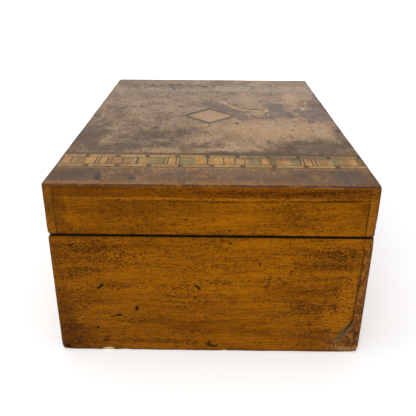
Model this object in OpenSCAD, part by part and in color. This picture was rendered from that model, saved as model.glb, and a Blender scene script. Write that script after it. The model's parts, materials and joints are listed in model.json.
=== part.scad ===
// Veneered puzzle box: a hinged and inlaid lid, a box lock whose keyhole hides behind a
// sliding slip in the front, and a secret drawer under a false floor that keeps the key.
// Frame: +Z up, X along the box, the front faces -Y, the hinges are at +Y and the secret
// drawer opens towards +X. The origin is the centre of the underside. Sizes in millimetres.

/* [Box] */
// Length of the box, along X
box_l = 302; // [280:1:360]
// Width of the box from front to back
box_w = 203; // [180:1:260]
// Height of the closed box
box_h = 123; // [118:1:160]
// Height of the lid
lid_h = 33.6; // [28:0.2:40]
// Seam between the lid and the base
lid_gap = 0.8; // [0.6:0.1:1.2]
// Radius of the upright corners
corner_r = 1.5; // [1:0.1:2.2]

/* [Boards] */
// Thickness of the side boards
wall_t = 8.2; // [7.6:0.1:10]
// Part of a side board that laps over the end of the next one
lip_t = 5.2; // [4:0.1:6]
// Thickness of the lid's top board
top_t = 7.6; // [6:0.1:10]
// Thickness of the bottom board
bottom_t = 8; // [6:0.1:10]
// Thickness of the false floor
floor_t = 4; // [3:0.1:5]
// Depth of the groove that holds the false floor
floor_groove = 2; // [1:0.1:3]
// Thickness of the veneer and the inlays
veneer_t = 0.8; // [0.6:0.05:1]
// Thickness of the paper lining
lining_t = 0.5; // [0.4:0.05:0.7]

/* [Inlay] */
// From the lid's end to the banding
band_from_end = 28.2; // [20:0.1:36]
// Length of the pieces in the middle row of the banding
tessera_l = 12.5; // [10:0.1:15]
// Width of the dashed rows beside them
dash_row_w = 3.9; // [3:0.1:5]
// Length of one light dash
dash_l = 17.2; // [12:0.1:20]
// Length of one dark block between the dashes
dash_block_l = 3.2; // [2:0.1:5]
// Width of the rules beside the middle row
rule_w = 0.8; // [0.6:0.1:1.4]
// Width of the light string along the banding's outer edge
string_w = 1; // [0.5:0.1:1.2]
// Width of the walnut fillet inside that string
fillet_w = 1.2; // [0.8:0.1:2.5]
// Width of the dark line between this fillet and the dashes
line_w = 0.9; // [0.6:0.1:1.4]
// Width of the walnut fillet along the banding's inner edge
inner_fillet_w = 3.2; // [2:0.1:4]
// Width of the dark line inside that fillet
inner_line_w = 1.5; // [0.8:0.1:2]
// Diamond across its corners, along the box
diamond_l = 46; // [36:1:60]
// Diamond across its corners, across the box
diamond_w = 43; // [34:1:56]
// Width of the diamond's dark border
diamond_line = 2.2; // [1.4:0.1:3]
// Centre of the diamond, along the box
diamond_x = 4; // [-5:0.5:5]
// Centre of the diamond, across the box
diamond_y = 2; // [-4:0.5:4]

/* [Hinges] */
// Length of a hinge
hinge_l = 38; // [30:1:50]
// From the box's end to the middle of a hinge
hinge_from_end = 58; // [40:1:70]
// Thickness of a leaf
leaf_t = 1.4; // [1.1:0.1:1.7]
// From the box's back to the hinge knuckles
knuckle_inset = 0.1; // [0:0.05:0.8]
// Radius of the hinge pin
pin_r = 0.9; // [0.7:0.05:1]
// Running clearance round the pin and between knuckles
pin_clear = 0.06; // [0.04:0.01:0.1]
// From the inner face of the back to the hinge leaves
leaf_inset = 1; // [0.6:0.1:1.5]
// Angle at which the bevels at the back stop the open lid, in degrees
lid_open = 100; // [92:1:110]

/* [Lock] */
// Length of the lock's top plate and of the link plate
plate_l = 68; // [64:1:80]
// Width of both plates
plate_w = 6.6; // [6.2:0.1:7]
// Thickness of both plates
plate_t = 1.8; // [1.5:0.1:2.2]
// How far the lock stands proud of the inside of the front
lock_proud = 1.2; // [0.8:0.1:1.6]
// Length of the lock's case
case_l = 52; // [50:1:56]
// Height of the lock's case under its top plate
case_h = 33; // [32:0.5:36]
// Thickness of the lock's case from front to back
case_t = 5.7; // [5.4:0.1:6]
// Thickness of the sheet the case and the cap are made of
sheet_t = 0.8; // [0.6:0.05:0.9]
// From the inside of the lock case's end to the bolt at rest
bolt_end_room = 1.9; // [1:0.1:2.5]
// Thickness of a staple
staple_t = 2.2; // [1.8:0.1:2.6]
// How far a staple reaches into the lock
staple_h = 8.8; // [8:0.1:10]
// Throw of the bolt
throw = 4.6; // [4:0.1:5]
// Thickness of the bolt
bolt_t = 1.6; // [1.4:0.1:1.8]
// Radius of the key's pin in the lock
drill_pin_r = 0.9; // [0.7:0.05:1]
// From the top plate's underside down to the key's pin
keyhole_drop = 25; // [24:0.5:26]

/* [Front slip] */
// Height of the slip that hides the keyhole, at its face
slip_h = 20; // [18:0.5:24]
// Thickness of the slip
slip_t = 2.8; // [2.4:0.1:3]
// How much wider the slip is at its back, on each side
slip_flare = 1.2; // [0.8:0.1:1.6]
// How far the slip reaches to the left of the keyhole
slip_reach = 24; // [16:1:40]
// Travel of the slip
slip_travel = 48; // [42:1:60]
// Clearance round the slip in its groove
slip_clear = 0.15; // [0.1:0.05:0.3]

/* [Secret drawer] */
// Height of the space for the drawer
drawer_space_h = 18; // [17:0.5:24]
// Thickness of the drawer's sides and back
drawer_side_t = 5; // [4:0.1:6]
// Thickness of the drawer's bottom
drawer_floor_t = 2.4; // [2:0.1:3]
// Height of the drawer's bottom above its lower edge
drawer_floor_up = 1.6; // [1.2:0.1:2.4]
// Groove that holds the drawer's bottom
drawer_groove = 1.6; // [1:0.1:2.4]
// Clearance between the drawer and the box
drawer_clear = 0.3; // [0.2:0.05:0.5]
// How far the drawer's sides stay below the false floor
drawer_headroom = 2; // [1:0.1:3]
// Length of the block that holds the key, along the drawer
key_tray_l = 26; // [24:1:34]
// Height of that block above the drawer's bottom
key_tray_h = 6.4; // [6:0.1:8]

/* [Key] */
// Radius of the key's shank
shank_r = 1.75; // [1.5:0.05:1.8]
// Length of the key's shank
shank_l = 30; // [26:1:34]
// How far the bit reaches from the shank's axis
bit_reach = 6.4; // [5.8:0.1:6.6]
// Width of the bit along the shank
bit_w = 3; // [2.4:0.1:3.2]
// Thickness of the bit
bit_t = 1.5; // [1.2:0.1:1.5]
// Radius of the key's bow
bow_r = 7; // [6:0.1:8]
// Thickness of the bow
bow_t = 2.2; // [1.8:0.1:2.6]
// Clearance round the key in its recess and in the keyhole
key_clear = 0.15; // [0.1:0.05:0.25]

/* [Hidden] */
$fn = 48;
over = 1;  // how far a cutting shape runs past what it cuts

// Box outline
half_l = box_l / 2;
half_w = box_w / 2;
board_x = half_l - veneer_t;     // outer faces of the boards
board_y = half_w - veneer_t;
in_x = board_x - wall_t;         // inner faces of the boards
in_y = board_y - wall_t;
end_y = board_y - lip_t;         // the end boards reach this far, between the lips
lid_z = box_h - lid_h;           // lid's lower edge
base_z = lid_z - lid_gap;        // base's upper edge
seam_z = (lid_z + base_z) / 2;
veneer_z = box_h - veneer_t;     // underside of the lid's veneer
ceiling_z = veneer_z - top_t;    // underside of the lid's top board
drawer_z = bottom_t;             // floor of the drawer's space
floor_z = drawer_z + drawer_space_h;
floor_top = floor_z + floor_t;

// Banding: rows from its outer edge inwards, each [wood, width, shift of its dashes]
BAND_ROWS = [
    ["boxwood", string_w], ["walnut", fillet_w], ["ebony", line_w],
    ["dashes", dash_row_w, -1],
    ["ebony", rule_w], ["tesserae", tessera_l], ["ebony", rule_w],
    ["dashes", dash_row_w, 1.6],
    ["walnut", inner_fillet_w], ["ebony", inner_line_w]
];
// One length of the middle row, from the back to the front: [wood, width]
TESSERAE = [
    ["walnut", 2.8], ["satinwood", 4.7], ["walnut", 1.3], ["boxwood", 2.7], ["green_holly", 2.2],
    ["pearwood", 4.4], ["satinwood", 6.2],
    ["ebony", 1], ["boxwood", 1.4], ["ebony", 1], ["satinwood", 4.3],
    ["ebony", 1], ["boxwood", 1.4], ["ebony", 1],
    ["pearwood", 6.4], ["walnut", 1.4], ["pearwood", 4.5], ["green_holly", 2], ["boxwood", 1.6],
    ["ebony", 1.8], ["boxwood", 4.6], ["pearwood", 3.5], ["green_holly", 8.4],
    ["ebony", 1], ["boxwood", 1.4], ["ebony", 1], ["satinwood", 4.4],
    ["ebony", 1], ["boxwood", 1.4], ["ebony", 1],
    ["green_holly", 9.6], ["satinwood", 6.6], ["boxwood", 1.2], ["ebony", 1.2],
    ["satinwood", 9.6], ["ebony", 1], ["satinwood", 6.2], ["walnut", 1.6], ["boxwood", 5.2],
    ["walnut", 0.9], ["boxwood", 1.3], ["green_holly", 7.8],
    ["ebony", 0.8], ["boxwood", 1.6], ["satinwood", 2.8], ["boxwood", 1.2], ["walnut", 5],
    ["pearwood", 4.4], ["satinwood", 4.8], ["green_holly", 6.2],
    ["ebony", 1], ["boxwood", 1.4], ["ebony", 1], ["satinwood", 4.3],
    ["ebony", 1], ["boxwood", 1.4], ["ebony", 1],
    ["boxwood", 1.6], ["pearwood", 5.4], ["boxwood", 3.4], ["green_holly", 4.8],
    ["satinwood", 11.2], ["walnut", 6]
];
function total(rows, n) = n == 0 ? 0 : total(rows, n - 1) + rows[n - 1][1];
band_w = total(BAND_ROWS, len(BAND_ROWS));
strip_l = total(TESSERAE, len(TESSERAE));
strips = ceil(box_w / strip_l);
dash_pitch = dash_l + dash_block_l;
field_x = half_l - band_from_end - band_w;   // the middle field ends here

// Hinges
hinge_x = half_l - hinge_from_end;
knuckle_r = leaf_t + lid_gap / 2;
axis_y = half_w - knuckle_inset - knuckle_r;
bevel_ease = 0.5;                // the bevels stay this many degrees apart, each
bevel = lid_open / 2 + bevel_ease;
knuckles = 5;
knuckle_l = hinge_l / knuckles;
knuckle_room = 0.3;              // clearance of the knuckles in the wood
leaf_y = in_y + leaf_inset;      // the leaf's inner edge
leaf_screw_y = (leaf_y + axis_y - knuckle_r) / 2;
leaf_screw_pitch = hinge_l / 3;
screw_head_r = 1.8;
screw_head_h = 1;
screw_r = 0.9;
screw_tip_r = 0.1;
screw_l = 10;
screw_slot = 0.5;

// Lock
lock_y = -in_y + lock_proud;                 // inner face of the lock
plate_y = lock_y - plate_w;
case_y = lock_y - case_t;
top_plate_z = seam_z - plate_t;              // underside of the lock's top plate
case_z = top_plate_z - case_h;
lock_mid_y = lock_y - case_t / 2;
lock_room = 0.35;                            // clearance of moving pieces inside the lock
staple_w = case_t - 2 * sheet_t - 2 * lock_room;
staple_z = seam_z - staple_h;
slot_room = 0.5;                             // clearance of a staple in the top plate
eye_h = 4;
eye_w = bolt_t + 0.3;
eye_rim = 1.4;                               // metal under a staple's eye
eye_z = staple_z + eye_rim;
bolt_hook_h = eye_h - 2 * lock_room;
bolt_bar_h = 7.4;
bolt_bar_top = staple_z - lock_room;
bolt_bar_z = bolt_bar_top - bolt_bar_h;
bolt_post_w = 3;
bolt_rest_gap = 0.6;                         // from the hook's tip to the staple
bolt_plate_h = 5.4;                          // the part under the bar that the key moves
bolt_plate_w = 18;
bolt_talon_r = 3.2;
bolt_x = -case_l / 2 + sheet_t + bolt_end_room;  // left end of the bolt at rest
staple_x = -bolt_x - bolt_post_w - throw - bolt_rest_gap - staple_t / 2;
bolt_stud_r = 1.1;
bolt_stud_x = bolt_x + bolt_post_w / 2 + throw + bolt_stud_r;
bolt_stud_z = bolt_bar_z + bolt_bar_h / 2;
bolt_stud_clear = 0.1;
spring_t = 0.6;
spring_gap = 0.05;                           // from the spring to the bolt's bar
key_z = top_plate_z - keyhole_drop;
key_slot_w = bit_t + 2 * key_clear;
key_hole_r = shank_r + key_clear;
escutcheon_t = 0.7;
plate_screw_x = (plate_l / 2 + case_l / 2) / 2;

// Front slip
slip_z = key_z - bit_reach / 2;              // middle of the slip
slip_y = -half_w + slip_t;                   // bottom of the slip's groove
slip_pin_r = 1;
slip_pin_h = 1.4;                            // how far the pin stands into the slip
slip_pin_root = 3;                           // and into the board
slip_pin_x = half_l - slip_travel;

// Secret drawer
drawer_x = in_x - drawer_clear;              // back of the drawer at the left end
drawer_y = in_y - drawer_clear;
drawer_low = drawer_z + drawer_clear;
drawer_high = floor_z - drawer_headroom;
drawer_floor_z = drawer_low + drawer_floor_up;
drawer_in_y = drawer_y - drawer_side_t;
tray_z = drawer_floor_z + drawer_floor_t;
tray_top = tray_z + key_tray_h;
nick_r = 14;                                 // nail nick under the drawer's front
nick_h = 2.4;
nick_d = 3;

// Key, lying along Y in its tray
key_axis_x = in_x - key_tray_l / 2;
key_axis_z = tray_top - shank_r;
bow_lap = 1;                                 // the bow laps this far over the shank
bow_y = -shank_l / 2 - bow_r + bow_lap;      // centre of the bow
bow_hole_r = 1.8;
bow_hole_out = 0.48 * bow_r;
bit_end = 1;                                 // from the bit to the end of the shank
key_bore = 9;                                // depth of the hole for the lock's pin

module block(low, high) {
    translate(low) cube(high - low);
}

// A rod along X from x0 to x1, at y and z
module rod_x(x0, x1, y, z, r) {
    translate([x0, y, z]) rotate([0, 90, 0]) cylinder(r = r, h = x1 - x0);
}

// A flat shape drawn in X and Z, standing from y0 to y1
module standing(y0, y1) {
    translate([0, y1, 0]) rotate([90, 0, 0]) linear_extrude(y1 - y0) children();
}

// A flat shape drawn in Y and Z, running from x0 to x1
module along_x(x0, x1) {
    translate([x0, 0, 0]) rotate([90, 0, 90]) linear_extrude(x1 - x0) children();
}

// ---- Outline of the veneered box ----

module envelope() {
    translate([0, 0, -over]) linear_extrude(box_h + 2 * over) {
        square([box_l - 2 * corner_r, box_w], center = true);
        square([box_l, box_w - 2 * corner_r], center = true);
        for (x = [-1, 1], y = [-1, 1])
            translate([x * (half_l - corner_r), y * (half_w - corner_r)]) circle(corner_r);
    }
}

// Front or back board, with rabbets for the end boards; side is -1 at the front
module long_board(side, z0, z1) {
    y = side * board_y;
    difference() {
        block([-board_x, min(y, y - side * wall_t), z0], [board_x, max(y, y - side * wall_t), z1]);
        for (x = [-1, 1])
            translate([x * (in_x + wall_t), side * (end_y - wall_t), (z0 + z1) / 2])
                cube([2 * wall_t, 2 * wall_t, z1 - z0 + over], center = true);
    }
}

// End board between the lips of the long boards; side is -1 at the left
module end_board(side, z0, z1) {
    x = side * board_x;
    block([min(x, x - side * wall_t), -end_y, z0], [max(x, x - side * wall_t), end_y, z1]);
}

module long_veneer(side, z0, z1) {
    y = side * half_w;
    intersection() {
        block([-half_l, min(y, y - side * veneer_t), z0], [half_l, max(y, y - side * veneer_t), z1]);
        envelope();
    }
}

module end_veneer(side, z0, z1) {
    x = side * half_l;
    intersection() {
        block([min(x, x - side * veneer_t), -board_y, z0], [max(x, x - side * veneer_t), board_y, z1]);
        envelope();
    }
}

// Bevels along the back edges at the seam, below it (-1) or above it (1). They start at
// the hinges' axis, let the lid turn past the base and stop it when they meet.
module back_bevel(half) {
    reach = half_w + over - axis_y;
    along_x(-half_l - over, half_l + over)
        polygon([[axis_y, seam_z], [axis_y + reach, seam_z + half * reach * tan(bevel)],
                 [axis_y + reach, seam_z - half * over], [axis_y, seam_z - half * over]]);
}

// ---- Base ----

module bottom_board() {
    color("sienna") difference() {
        block([-board_x, -board_y, 0], [board_x, board_y, bottom_t]);
        bottom_brads_shape();
        nail_nick();
    }
}

// Nail nick in the bottom board's end, to draw the drawer by
module nail_nick() {
    translate([half_l - nick_d, 0, bottom_t - nick_h]) difference() {
        translate([0, -nick_r, 0]) cube([nick_d + over, 2 * nick_r, nick_h + over]);
        for (y = [-1, 1])
            translate([-over, y * nick_r, -over]) cylinder(r = nick_d, h = nick_h + 3 * over);
    }
}

brad_r = 0.7;
brad_head_r = 1.4;
brad_head_h = 0.6;
brad_l = 18;
brad_inset = wall_t / 2 + veneer_t;
brad_pitch = 62;

module brad() {
    cylinder(r = brad_head_r, h = brad_head_h);
    cylinder(r = brad_r, h = brad_l);
}

// Brads that nail the bottom to the front and back boards
module bottom_brads_shape() {
    count = floor((box_l - brad_pitch / 2) / brad_pitch);
    for (i = [0 : count], y = [-1, 1])
        translate([(i - count / 2) * brad_pitch, y * (half_w - brad_inset), 0]) brad();
}

module bottom_brads() {
    color("dimgray") bottom_brads_shape();
}

module base_front_board() {
    color("peru") difference() {
        long_board(-1, bottom_t, base_z);
        false_floor_shape();
        bottom_brads_shape();
        lock_mortise();
        keyhole_cut(case_y, slip_y, escutcheon_t);
        slip_groove();
        slip_stop_pin_shape();
    }
}

module base_back_board() {
    color("peru") difference() {
        long_board(1, bottom_t, base_z);
        false_floor_shape();
        bottom_brads_shape();
        hinge_mortises(-1);
        back_bevel(-1);
    }
}

module base_left_board() {
    color("peru") difference() {
        end_board(-1, bottom_t, base_z);
        false_floor_shape();
    }
}

// The right end board stops above the drawer
module base_right_board() {
    color("peru") difference() {
        end_board(1, floor_z, base_z);
        false_floor_shape();
    }
}

module false_floor_shape() {
    block([-in_x - floor_groove, -in_y - floor_groove, floor_z],
          [in_x + floor_groove, in_y + floor_groove, floor_top]);
}

module false_floor() {
    color("burlywood") false_floor_shape();
}

module base_front_veneer() {
    color("saddlebrown") difference() {
        long_veneer(-1, 0, base_z);
        slip_groove();
    }
}

module base_back_veneer() {
    color("saddlebrown") difference() {
        long_veneer(1, 0, base_z);
        knuckle_cuts();
        back_bevel(-1);
    }
}

module base_left_veneer() {
    color("darkgoldenrod") difference() {
        end_veneer(-1, 0, base_z);
        back_bevel(-1);
    }
}

// The right end veneer is cut for the drawer's front, along the joints of the boards
module base_right_veneer() {
    color("darkgoldenrod") difference() {
        end_veneer(1, 0, base_z);
        block([in_x, -end_y, drawer_z], [half_l + over, end_y, floor_z]);
        back_bevel(-1);
        slip_groove();
        nail_nick();
    }
}

// Four sheets of paper on the inner faces of the walls
module wall_paper(z0, z1) {
    for (y = [-in_y, in_y - lining_t])
        block([-in_x, y, z0], [in_x, y + lining_t, z1]);
    for (x = [-in_x, in_x - lining_t])
        block([x, -in_y + lining_t, z0], [x + lining_t, in_y - lining_t, z1]);
}

module base_wall_lining() {
    color("slateblue") difference() {
        wall_paper(floor_top, base_z);
        block([-plate_l / 2 - over, -half_w, case_z - over], [plate_l / 2 + over, 0, box_h]);
    }
}

module floor_lining() {
    color("slateblue") block([-in_x + lining_t, -in_y + lining_t, floor_top],
                             [in_x - lining_t, in_y - lining_t, floor_top + lining_t]);
}

// ---- Hinges ----

// The shape of a wood screw with its head's face at z = 0, driven downwards
module screw_body() {
    translate([0, 0, -screw_head_h])
        cylinder(r1 = screw_r, r2 = screw_head_r, h = screw_head_h);
    translate([0, 0, -screw_l + 2 * screw_r])
        cylinder(r = screw_r, h = screw_l - 2 * screw_r - screw_head_h);
    translate([0, 0, -screw_l])
        cylinder(r1 = screw_tip_r, r2 = screw_r, h = 2 * screw_r);
}

module wood_screw() {
    difference() {
        screw_body();
        cube([3 * screw_head_r, screw_slot, 2 * screw_slot], center = true);
    }
}

// Places children at the screws of both hinges, turned for the base (-1) or the lid (1)
module at_hinge_screws(half) {
    for (x = [-hinge_x, hinge_x], i = [-1 : 1])
        translate([x + i * leaf_screw_pitch, leaf_screw_y, seam_z + half * lid_gap / 2])
            rotate([half > 0 ? 180 : 0, 0, 0]) children();
}

// A leaf's flat, under the seam in the base (-1) and over it in the lid (1)
module leaf_flat(x, half) {
    z0 = seam_z + half * (lid_gap / 2 + leaf_t / 2) - leaf_t / 2;
    block([x - hinge_l / 2, leaf_y, z0], [x + hinge_l / 2, axis_y, z0 + leaf_t]);
}

module leaf(x, half) {
    first = half < 0 ? 0 : 1;
    difference() {
        union() {
            leaf_flat(x, half);
            rod_x(x - hinge_l / 2, x + hinge_l / 2, axis_y, seam_z, knuckle_r);
        }
        for (i = [1 - first : 2 : knuckles - 1])
            rod_x(x - hinge_l / 2 + i * knuckle_l - pin_clear,
                  x - hinge_l / 2 + (i + 1) * knuckle_l + pin_clear,
                  axis_y, seam_z, knuckle_r + 3 * pin_clear);
        rod_x(x - hinge_l, x + hinge_l, axis_y, seam_z, pin_r + (half < 0 ? 0 : pin_clear));
        at_hinge_screws(half) screw_body();
        block([x - hinge_l, leaf_y - over, seam_z - lid_gap / 2],
              [x + hinge_l, axis_y - knuckle_r, seam_z + lid_gap / 2]);
    }
}

// Room in the wood for both knuckle rows
module knuckle_cuts() {
    for (x = [-hinge_x, hinge_x])
        rod_x(x - hinge_l / 2 - knuckle_room, x + hinge_l / 2 + knuckle_room,
              axis_y, seam_z, knuckle_r + knuckle_room);
}

module hinge_mortises(half) {
    for (x = [-hinge_x, hinge_x])
        leaf_flat(x, half);
    knuckle_cuts();
    at_hinge_screws(half) screw_body();
}

module left_hinge_base_leaf() {
    color("goldenrod") leaf(-hinge_x, -1);
}

module right_hinge_base_leaf() {
    color("goldenrod") leaf(hinge_x, -1);
}

module left_hinge_lid_leaf() {
    color("gold") leaf(-hinge_x, 1);
}

module right_hinge_lid_leaf() {
    color("gold") leaf(hinge_x, 1);
}

module hinge_pin(x) {
    color("darkgray") rod_x(x - hinge_l / 2, x + hinge_l / 2, axis_y, seam_z, pin_r);
}

module left_hinge_pin() {
    hinge_pin(-hinge_x);
}

module right_hinge_pin() {
    hinge_pin(hinge_x);
}

module base_hinge_screws() {
    color("khaki") at_hinge_screws(-1) wood_screw();
}

module lid_hinge_screws() {
    color("khaki") at_hinge_screws(1) wood_screw();
}

// ---- Lock ----

module plate_shape(z0) {
    translate([0, plate_y + plate_w / 2, z0]) linear_extrude(plate_t) {
        square([plate_l - plate_w, plate_w], center = true);
        for (x = [-1, 1])
            translate([x * (plate_l - plate_w) / 2, 0]) circle(plate_w / 2);
    }
}

// Places children at the two screws of a plate, turned for the base (-1) or the lid (1)
module at_plate_screws(half) {
    for (x = [-plate_screw_x, plate_screw_x])
        translate([x, plate_y + plate_w / 2, seam_z]) rotate([half > 0 ? 180 : 0, 0, 0]) children();
}

module lock_mortise() {
    plate_shape(top_plate_z);
    block([-case_l / 2, case_y, case_z], [case_l / 2, 0, top_plate_z + over]);
    at_plate_screws(-1) screw_body();
}

module lock_top_plate() {
    color("goldenrod") difference() {
        plate_shape(top_plate_z);
        at_plate_screws(-1) screw_body();
        for (x = [-staple_x, staple_x])
            translate([x, lock_mid_y, seam_z])
                cube([staple_t + 2 * slot_room, staple_w + 2 * slot_room, 3 * plate_t], center = true);
    }
}

// Box of the lock, open towards the front, with the key's pin and the bolt's stud
module lock_case() {
    color("darkkhaki") {
        difference() {
            block([-case_l / 2, case_y + sheet_t, case_z], [case_l / 2, lock_y, top_plate_z]);
            block([-case_l / 2 + sheet_t, case_y, case_z + sheet_t],
                  [case_l / 2 - sheet_t, lock_y - sheet_t, top_plate_z + over]);
        }
        lock_post(0, key_z, drill_pin_r);
        lock_post(bolt_stud_x, bolt_stud_z, bolt_stud_r);
    }
}

// A pin riveted into the back of the lock's case
module lock_post(x, z, r) {
    standing(case_y + sheet_t, lock_y - sheet_t) translate([x, z]) circle(r);
}

module lock_cap() {
    color("darkkhaki") difference() {
        block([-case_l / 2, case_y, case_z], [case_l / 2, case_y + sheet_t, top_plate_z]);
        keyhole_cut(case_y + 2 * sheet_t, case_y - over, 0);
    }
}

module keyhole_shape(grow) {
    circle(key_hole_r + grow);
    translate([-key_slot_w / 2 - grow, -bit_reach - key_clear - grow])
        square([key_slot_w + 2 * grow, bit_reach + key_clear + grow]);
}

// The keyhole from y1 forward to y0
module keyhole_cut(y1, y0, grow) {
    standing(min(y0, y1), max(y0, y1)) translate([0, key_z]) keyhole_shape(grow);
}

// Brass thread that lines the keyhole through the web of the front board
module keyhole_escutcheon() {
    color("gold") difference() {
        keyhole_cut(case_y, slip_y, escutcheon_t);
        keyhole_cut(case_y + over, slip_y - over, 0);
    }
}

// Bent spring between the top plate and the bolt's bar
module lock_spring() {
    left = bolt_tip_x(-1) + throw + lock_room;
    right = bolt_post_x(1) - lock_room;
    drop = top_plate_z - bolt_bar_top - spring_gap;
    color("silver") standing(lock_mid_y - bolt_t, lock_mid_y + bolt_t)
        translate([(left + right) / 2, top_plate_z])
            for (side = [-1, 1])
                polygon([[side * (right - left) / 2, 0], [0, -drop], [0, spring_t - drop],
                         [side * ((right - left) / 2 - spring_t), 0]]);
}

module lock_screws() {
    color("khaki") at_plate_screws(-1) wood_screw();
}

function bolt_tip_x(side) = side * staple_x - staple_t / 2 - bolt_rest_gap;
function bolt_post_x(side) = bolt_tip_x(side) - throw - bolt_post_w;

// The bolt: a bar with two hooks that pass through the staples, and a talon for the key
module lock_bolt() {
    bar_end = case_l / 2 - sheet_t - throw - bolt_rest_gap;
    slot_r = bolt_stud_r + bolt_stud_clear;
    hook_z = eye_z + lock_room;
    color("darkgoldenrod") standing(lock_mid_y - bolt_t / 2, lock_mid_y + bolt_t / 2) difference() {
        union() {
            translate([bolt_x, bolt_bar_z]) square([bar_end - bolt_x, bolt_bar_h]);
            translate([-bolt_plate_w / 2, bolt_bar_z - bolt_plate_h])
                square([bolt_plate_w, bolt_plate_h + over]);
            for (side = [-1, 1]) {
                translate([bolt_post_x(side), bolt_bar_z])
                    square([bolt_post_w, hook_z + bolt_hook_h - bolt_bar_z]);
                translate([bolt_post_x(side), hook_z])
                    square([bolt_tip_x(side) - bolt_post_x(side), bolt_hook_h]);
            }
        }
        translate([throw / 2, bolt_bar_z - bolt_plate_h]) circle(bolt_talon_r);
        for (x = [bolt_stud_x - throw, bolt_stud_x])
            translate([x, bolt_stud_z]) circle(slot_r);
        translate([bolt_stud_x - throw, bolt_stud_z - slot_r]) square([throw, 2 * slot_r]);
    }
}

// Link plate in the lid, with two staples that the bolt's hooks catch
module link_plate() {
    color("gold") {
        difference() {
            plate_shape(seam_z);
            at_plate_screws(1) screw_body();
        }
        for (x = [-staple_x, staple_x])
            difference() {
                block([x - staple_t / 2, lock_mid_y - staple_w / 2, staple_z],
                      [x + staple_t / 2, lock_mid_y + staple_w / 2, seam_z + plate_t / 2]);
                block([x - staple_t, lock_mid_y - eye_w / 2, eye_z],
                      [x + staple_t, lock_mid_y + eye_w / 2, eye_z + eye_h]);
            }
    }
}

module link_plate_screws() {
    color("khaki") at_plate_screws(1) wood_screw();
}

// ---- Front slip ----

// Section of the slip, drawn in Y and Z, grown by the clearance all round
module slip_section(grow) {
    face = slip_h / 2 + grow;
    back = face + slip_flare;
    polygon([[-half_w - (grow > 0 ? over : 0), slip_z - face], [-half_w, slip_z - face],
             [slip_y, slip_z - back], [slip_y, slip_z + back],
             [-half_w, slip_z + face], [-half_w - (grow > 0 ? over : 0), slip_z + face]]);
}

module slip_groove() {
    along_x(-slip_reach - slip_clear, half_l + over) slip_section(slip_clear);
}

module slip_stop_pin_shape() {
    standing(slip_y - slip_pin_h, slip_y + slip_pin_root)
        translate([slip_pin_x, slip_z]) circle(slip_pin_r);
}

module slip_stop_pin() {
    color("gold") slip_stop_pin_shape();
}

// The slip slides to the right until its slot meets the stop pin
module front_slip() {
    slot_r = slip_pin_r + slip_clear;
    color("saddlebrown") difference() {
        intersection() {
            along_x(-slip_reach, half_l) slip_section(0);
            envelope();
        }
        standing(slip_y - slip_pin_h - slip_clear, slip_y + over) translate([slip_pin_x, slip_z]) {
            circle(slot_r);
            translate([-slip_travel, 0]) circle(slot_r);
            translate([-slip_travel, -slot_r]) square([slip_travel, 2 * slot_r]);
        }
    }
}

// ---- Secret drawer ----

module drawer_bottom_shape() {
    block([-drawer_x + drawer_side_t - drawer_groove, -drawer_in_y - drawer_groove, drawer_floor_z],
          [in_x + drawer_groove, drawer_in_y + drawer_groove, drawer_floor_z + drawer_floor_t]);
}

module drawer_bottom() {
    color("burlywood") drawer_bottom_shape();
}

module drawer_front() {
    color("peru") difference() {
        block([in_x, -end_y + drawer_clear, drawer_low],
              [board_x, end_y - drawer_clear, floor_z - drawer_clear]);
        drawer_bottom_shape();
    }
}

module drawer_front_veneer() {
    color("darkgoldenrod") block([board_x, -end_y + drawer_clear, drawer_low],
                                 [half_l, end_y - drawer_clear, floor_z - drawer_clear]);
}

module drawer_sides() {
    color("burlywood") difference() {
        for (y = [-drawer_y, drawer_in_y])
            block([-drawer_x, y, drawer_low], [in_x, y + drawer_side_t, drawer_high]);
        drawer_bottom_shape();
    }
}

module drawer_back() {
    color("burlywood") difference() {
        block([-drawer_x, -drawer_in_y, drawer_low],
              [-drawer_x + drawer_side_t, drawer_in_y, drawer_high]);
        drawer_bottom_shape();
    }
}

// Block across the drawer with a recess in the key's shape
module key_tray() {
    color("tan") difference() {
        block([in_x - key_tray_l, -drawer_in_y, tray_z], [in_x, drawer_in_y, tray_top]);
        translate([0, 0, key_axis_z - shank_r]) linear_extrude(key_tray_h) {
            key_outline(key_clear);
            translate([key_axis_x, 0]) circle(bow_r);
        }
    }
}

// ---- Key ----

// The key seen from above, along Y, with its bow at the front
module key_outline(grow) {
    translate([key_axis_x, 0]) {
        translate([-shank_r - grow, -shank_l / 2 - grow])
            square([2 * (shank_r + grow), shank_l + 2 * grow]);
        translate([0, bow_y]) circle(bow_r + grow);
        translate([-bit_reach - grow, shank_l / 2 - bit_end - bit_w - grow])
            square([bit_reach + grow, bit_w + 2 * grow]);
    }
}

module rod_y(y0, y1, r) {
    translate([0, y1, 0]) rotate([90, 0, 0]) cylinder(r = r, h = y1 - y0);
}

module key() {
    tip = shank_l / 2;
    color("silver") translate([key_axis_x, 0, key_axis_z]) difference() {
        union() {
            rod_y(-tip, tip, shank_r);
            translate([0, bow_y, 0]) cylinder(r = bow_r, h = bow_t, center = true);
            translate([-bit_reach, tip - bit_end - bit_w, -bit_t / 2])
                cube([bit_reach, bit_w, bit_t]);
        }
        rod_y(tip - key_bore, tip + over, drill_pin_r + key_clear);
        for (a = [90, 210, 330])
            translate([0, bow_y, 0]) rotate([0, 0, a]) translate([bow_hole_out, 0, 0])
                cylinder(r = bow_hole_r, h = 2 * bow_t, center = true);
    }
}

// ---- Lid ----

module lid_front_board() {
    color("peru") difference() {
        long_board(-1, lid_z, ceiling_z);
        plate_shape(seam_z);
        at_plate_screws(1) screw_body();
    }
}

module lid_back_board() {
    color("peru") difference() {
        long_board(1, lid_z, ceiling_z);
        hinge_mortises(1);
        back_bevel(1);
    }
}

module lid_left_board() {
    color("peru") end_board(-1, lid_z, ceiling_z);
}

module lid_right_board() {
    color("peru") end_board(1, lid_z, ceiling_z);
}

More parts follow.
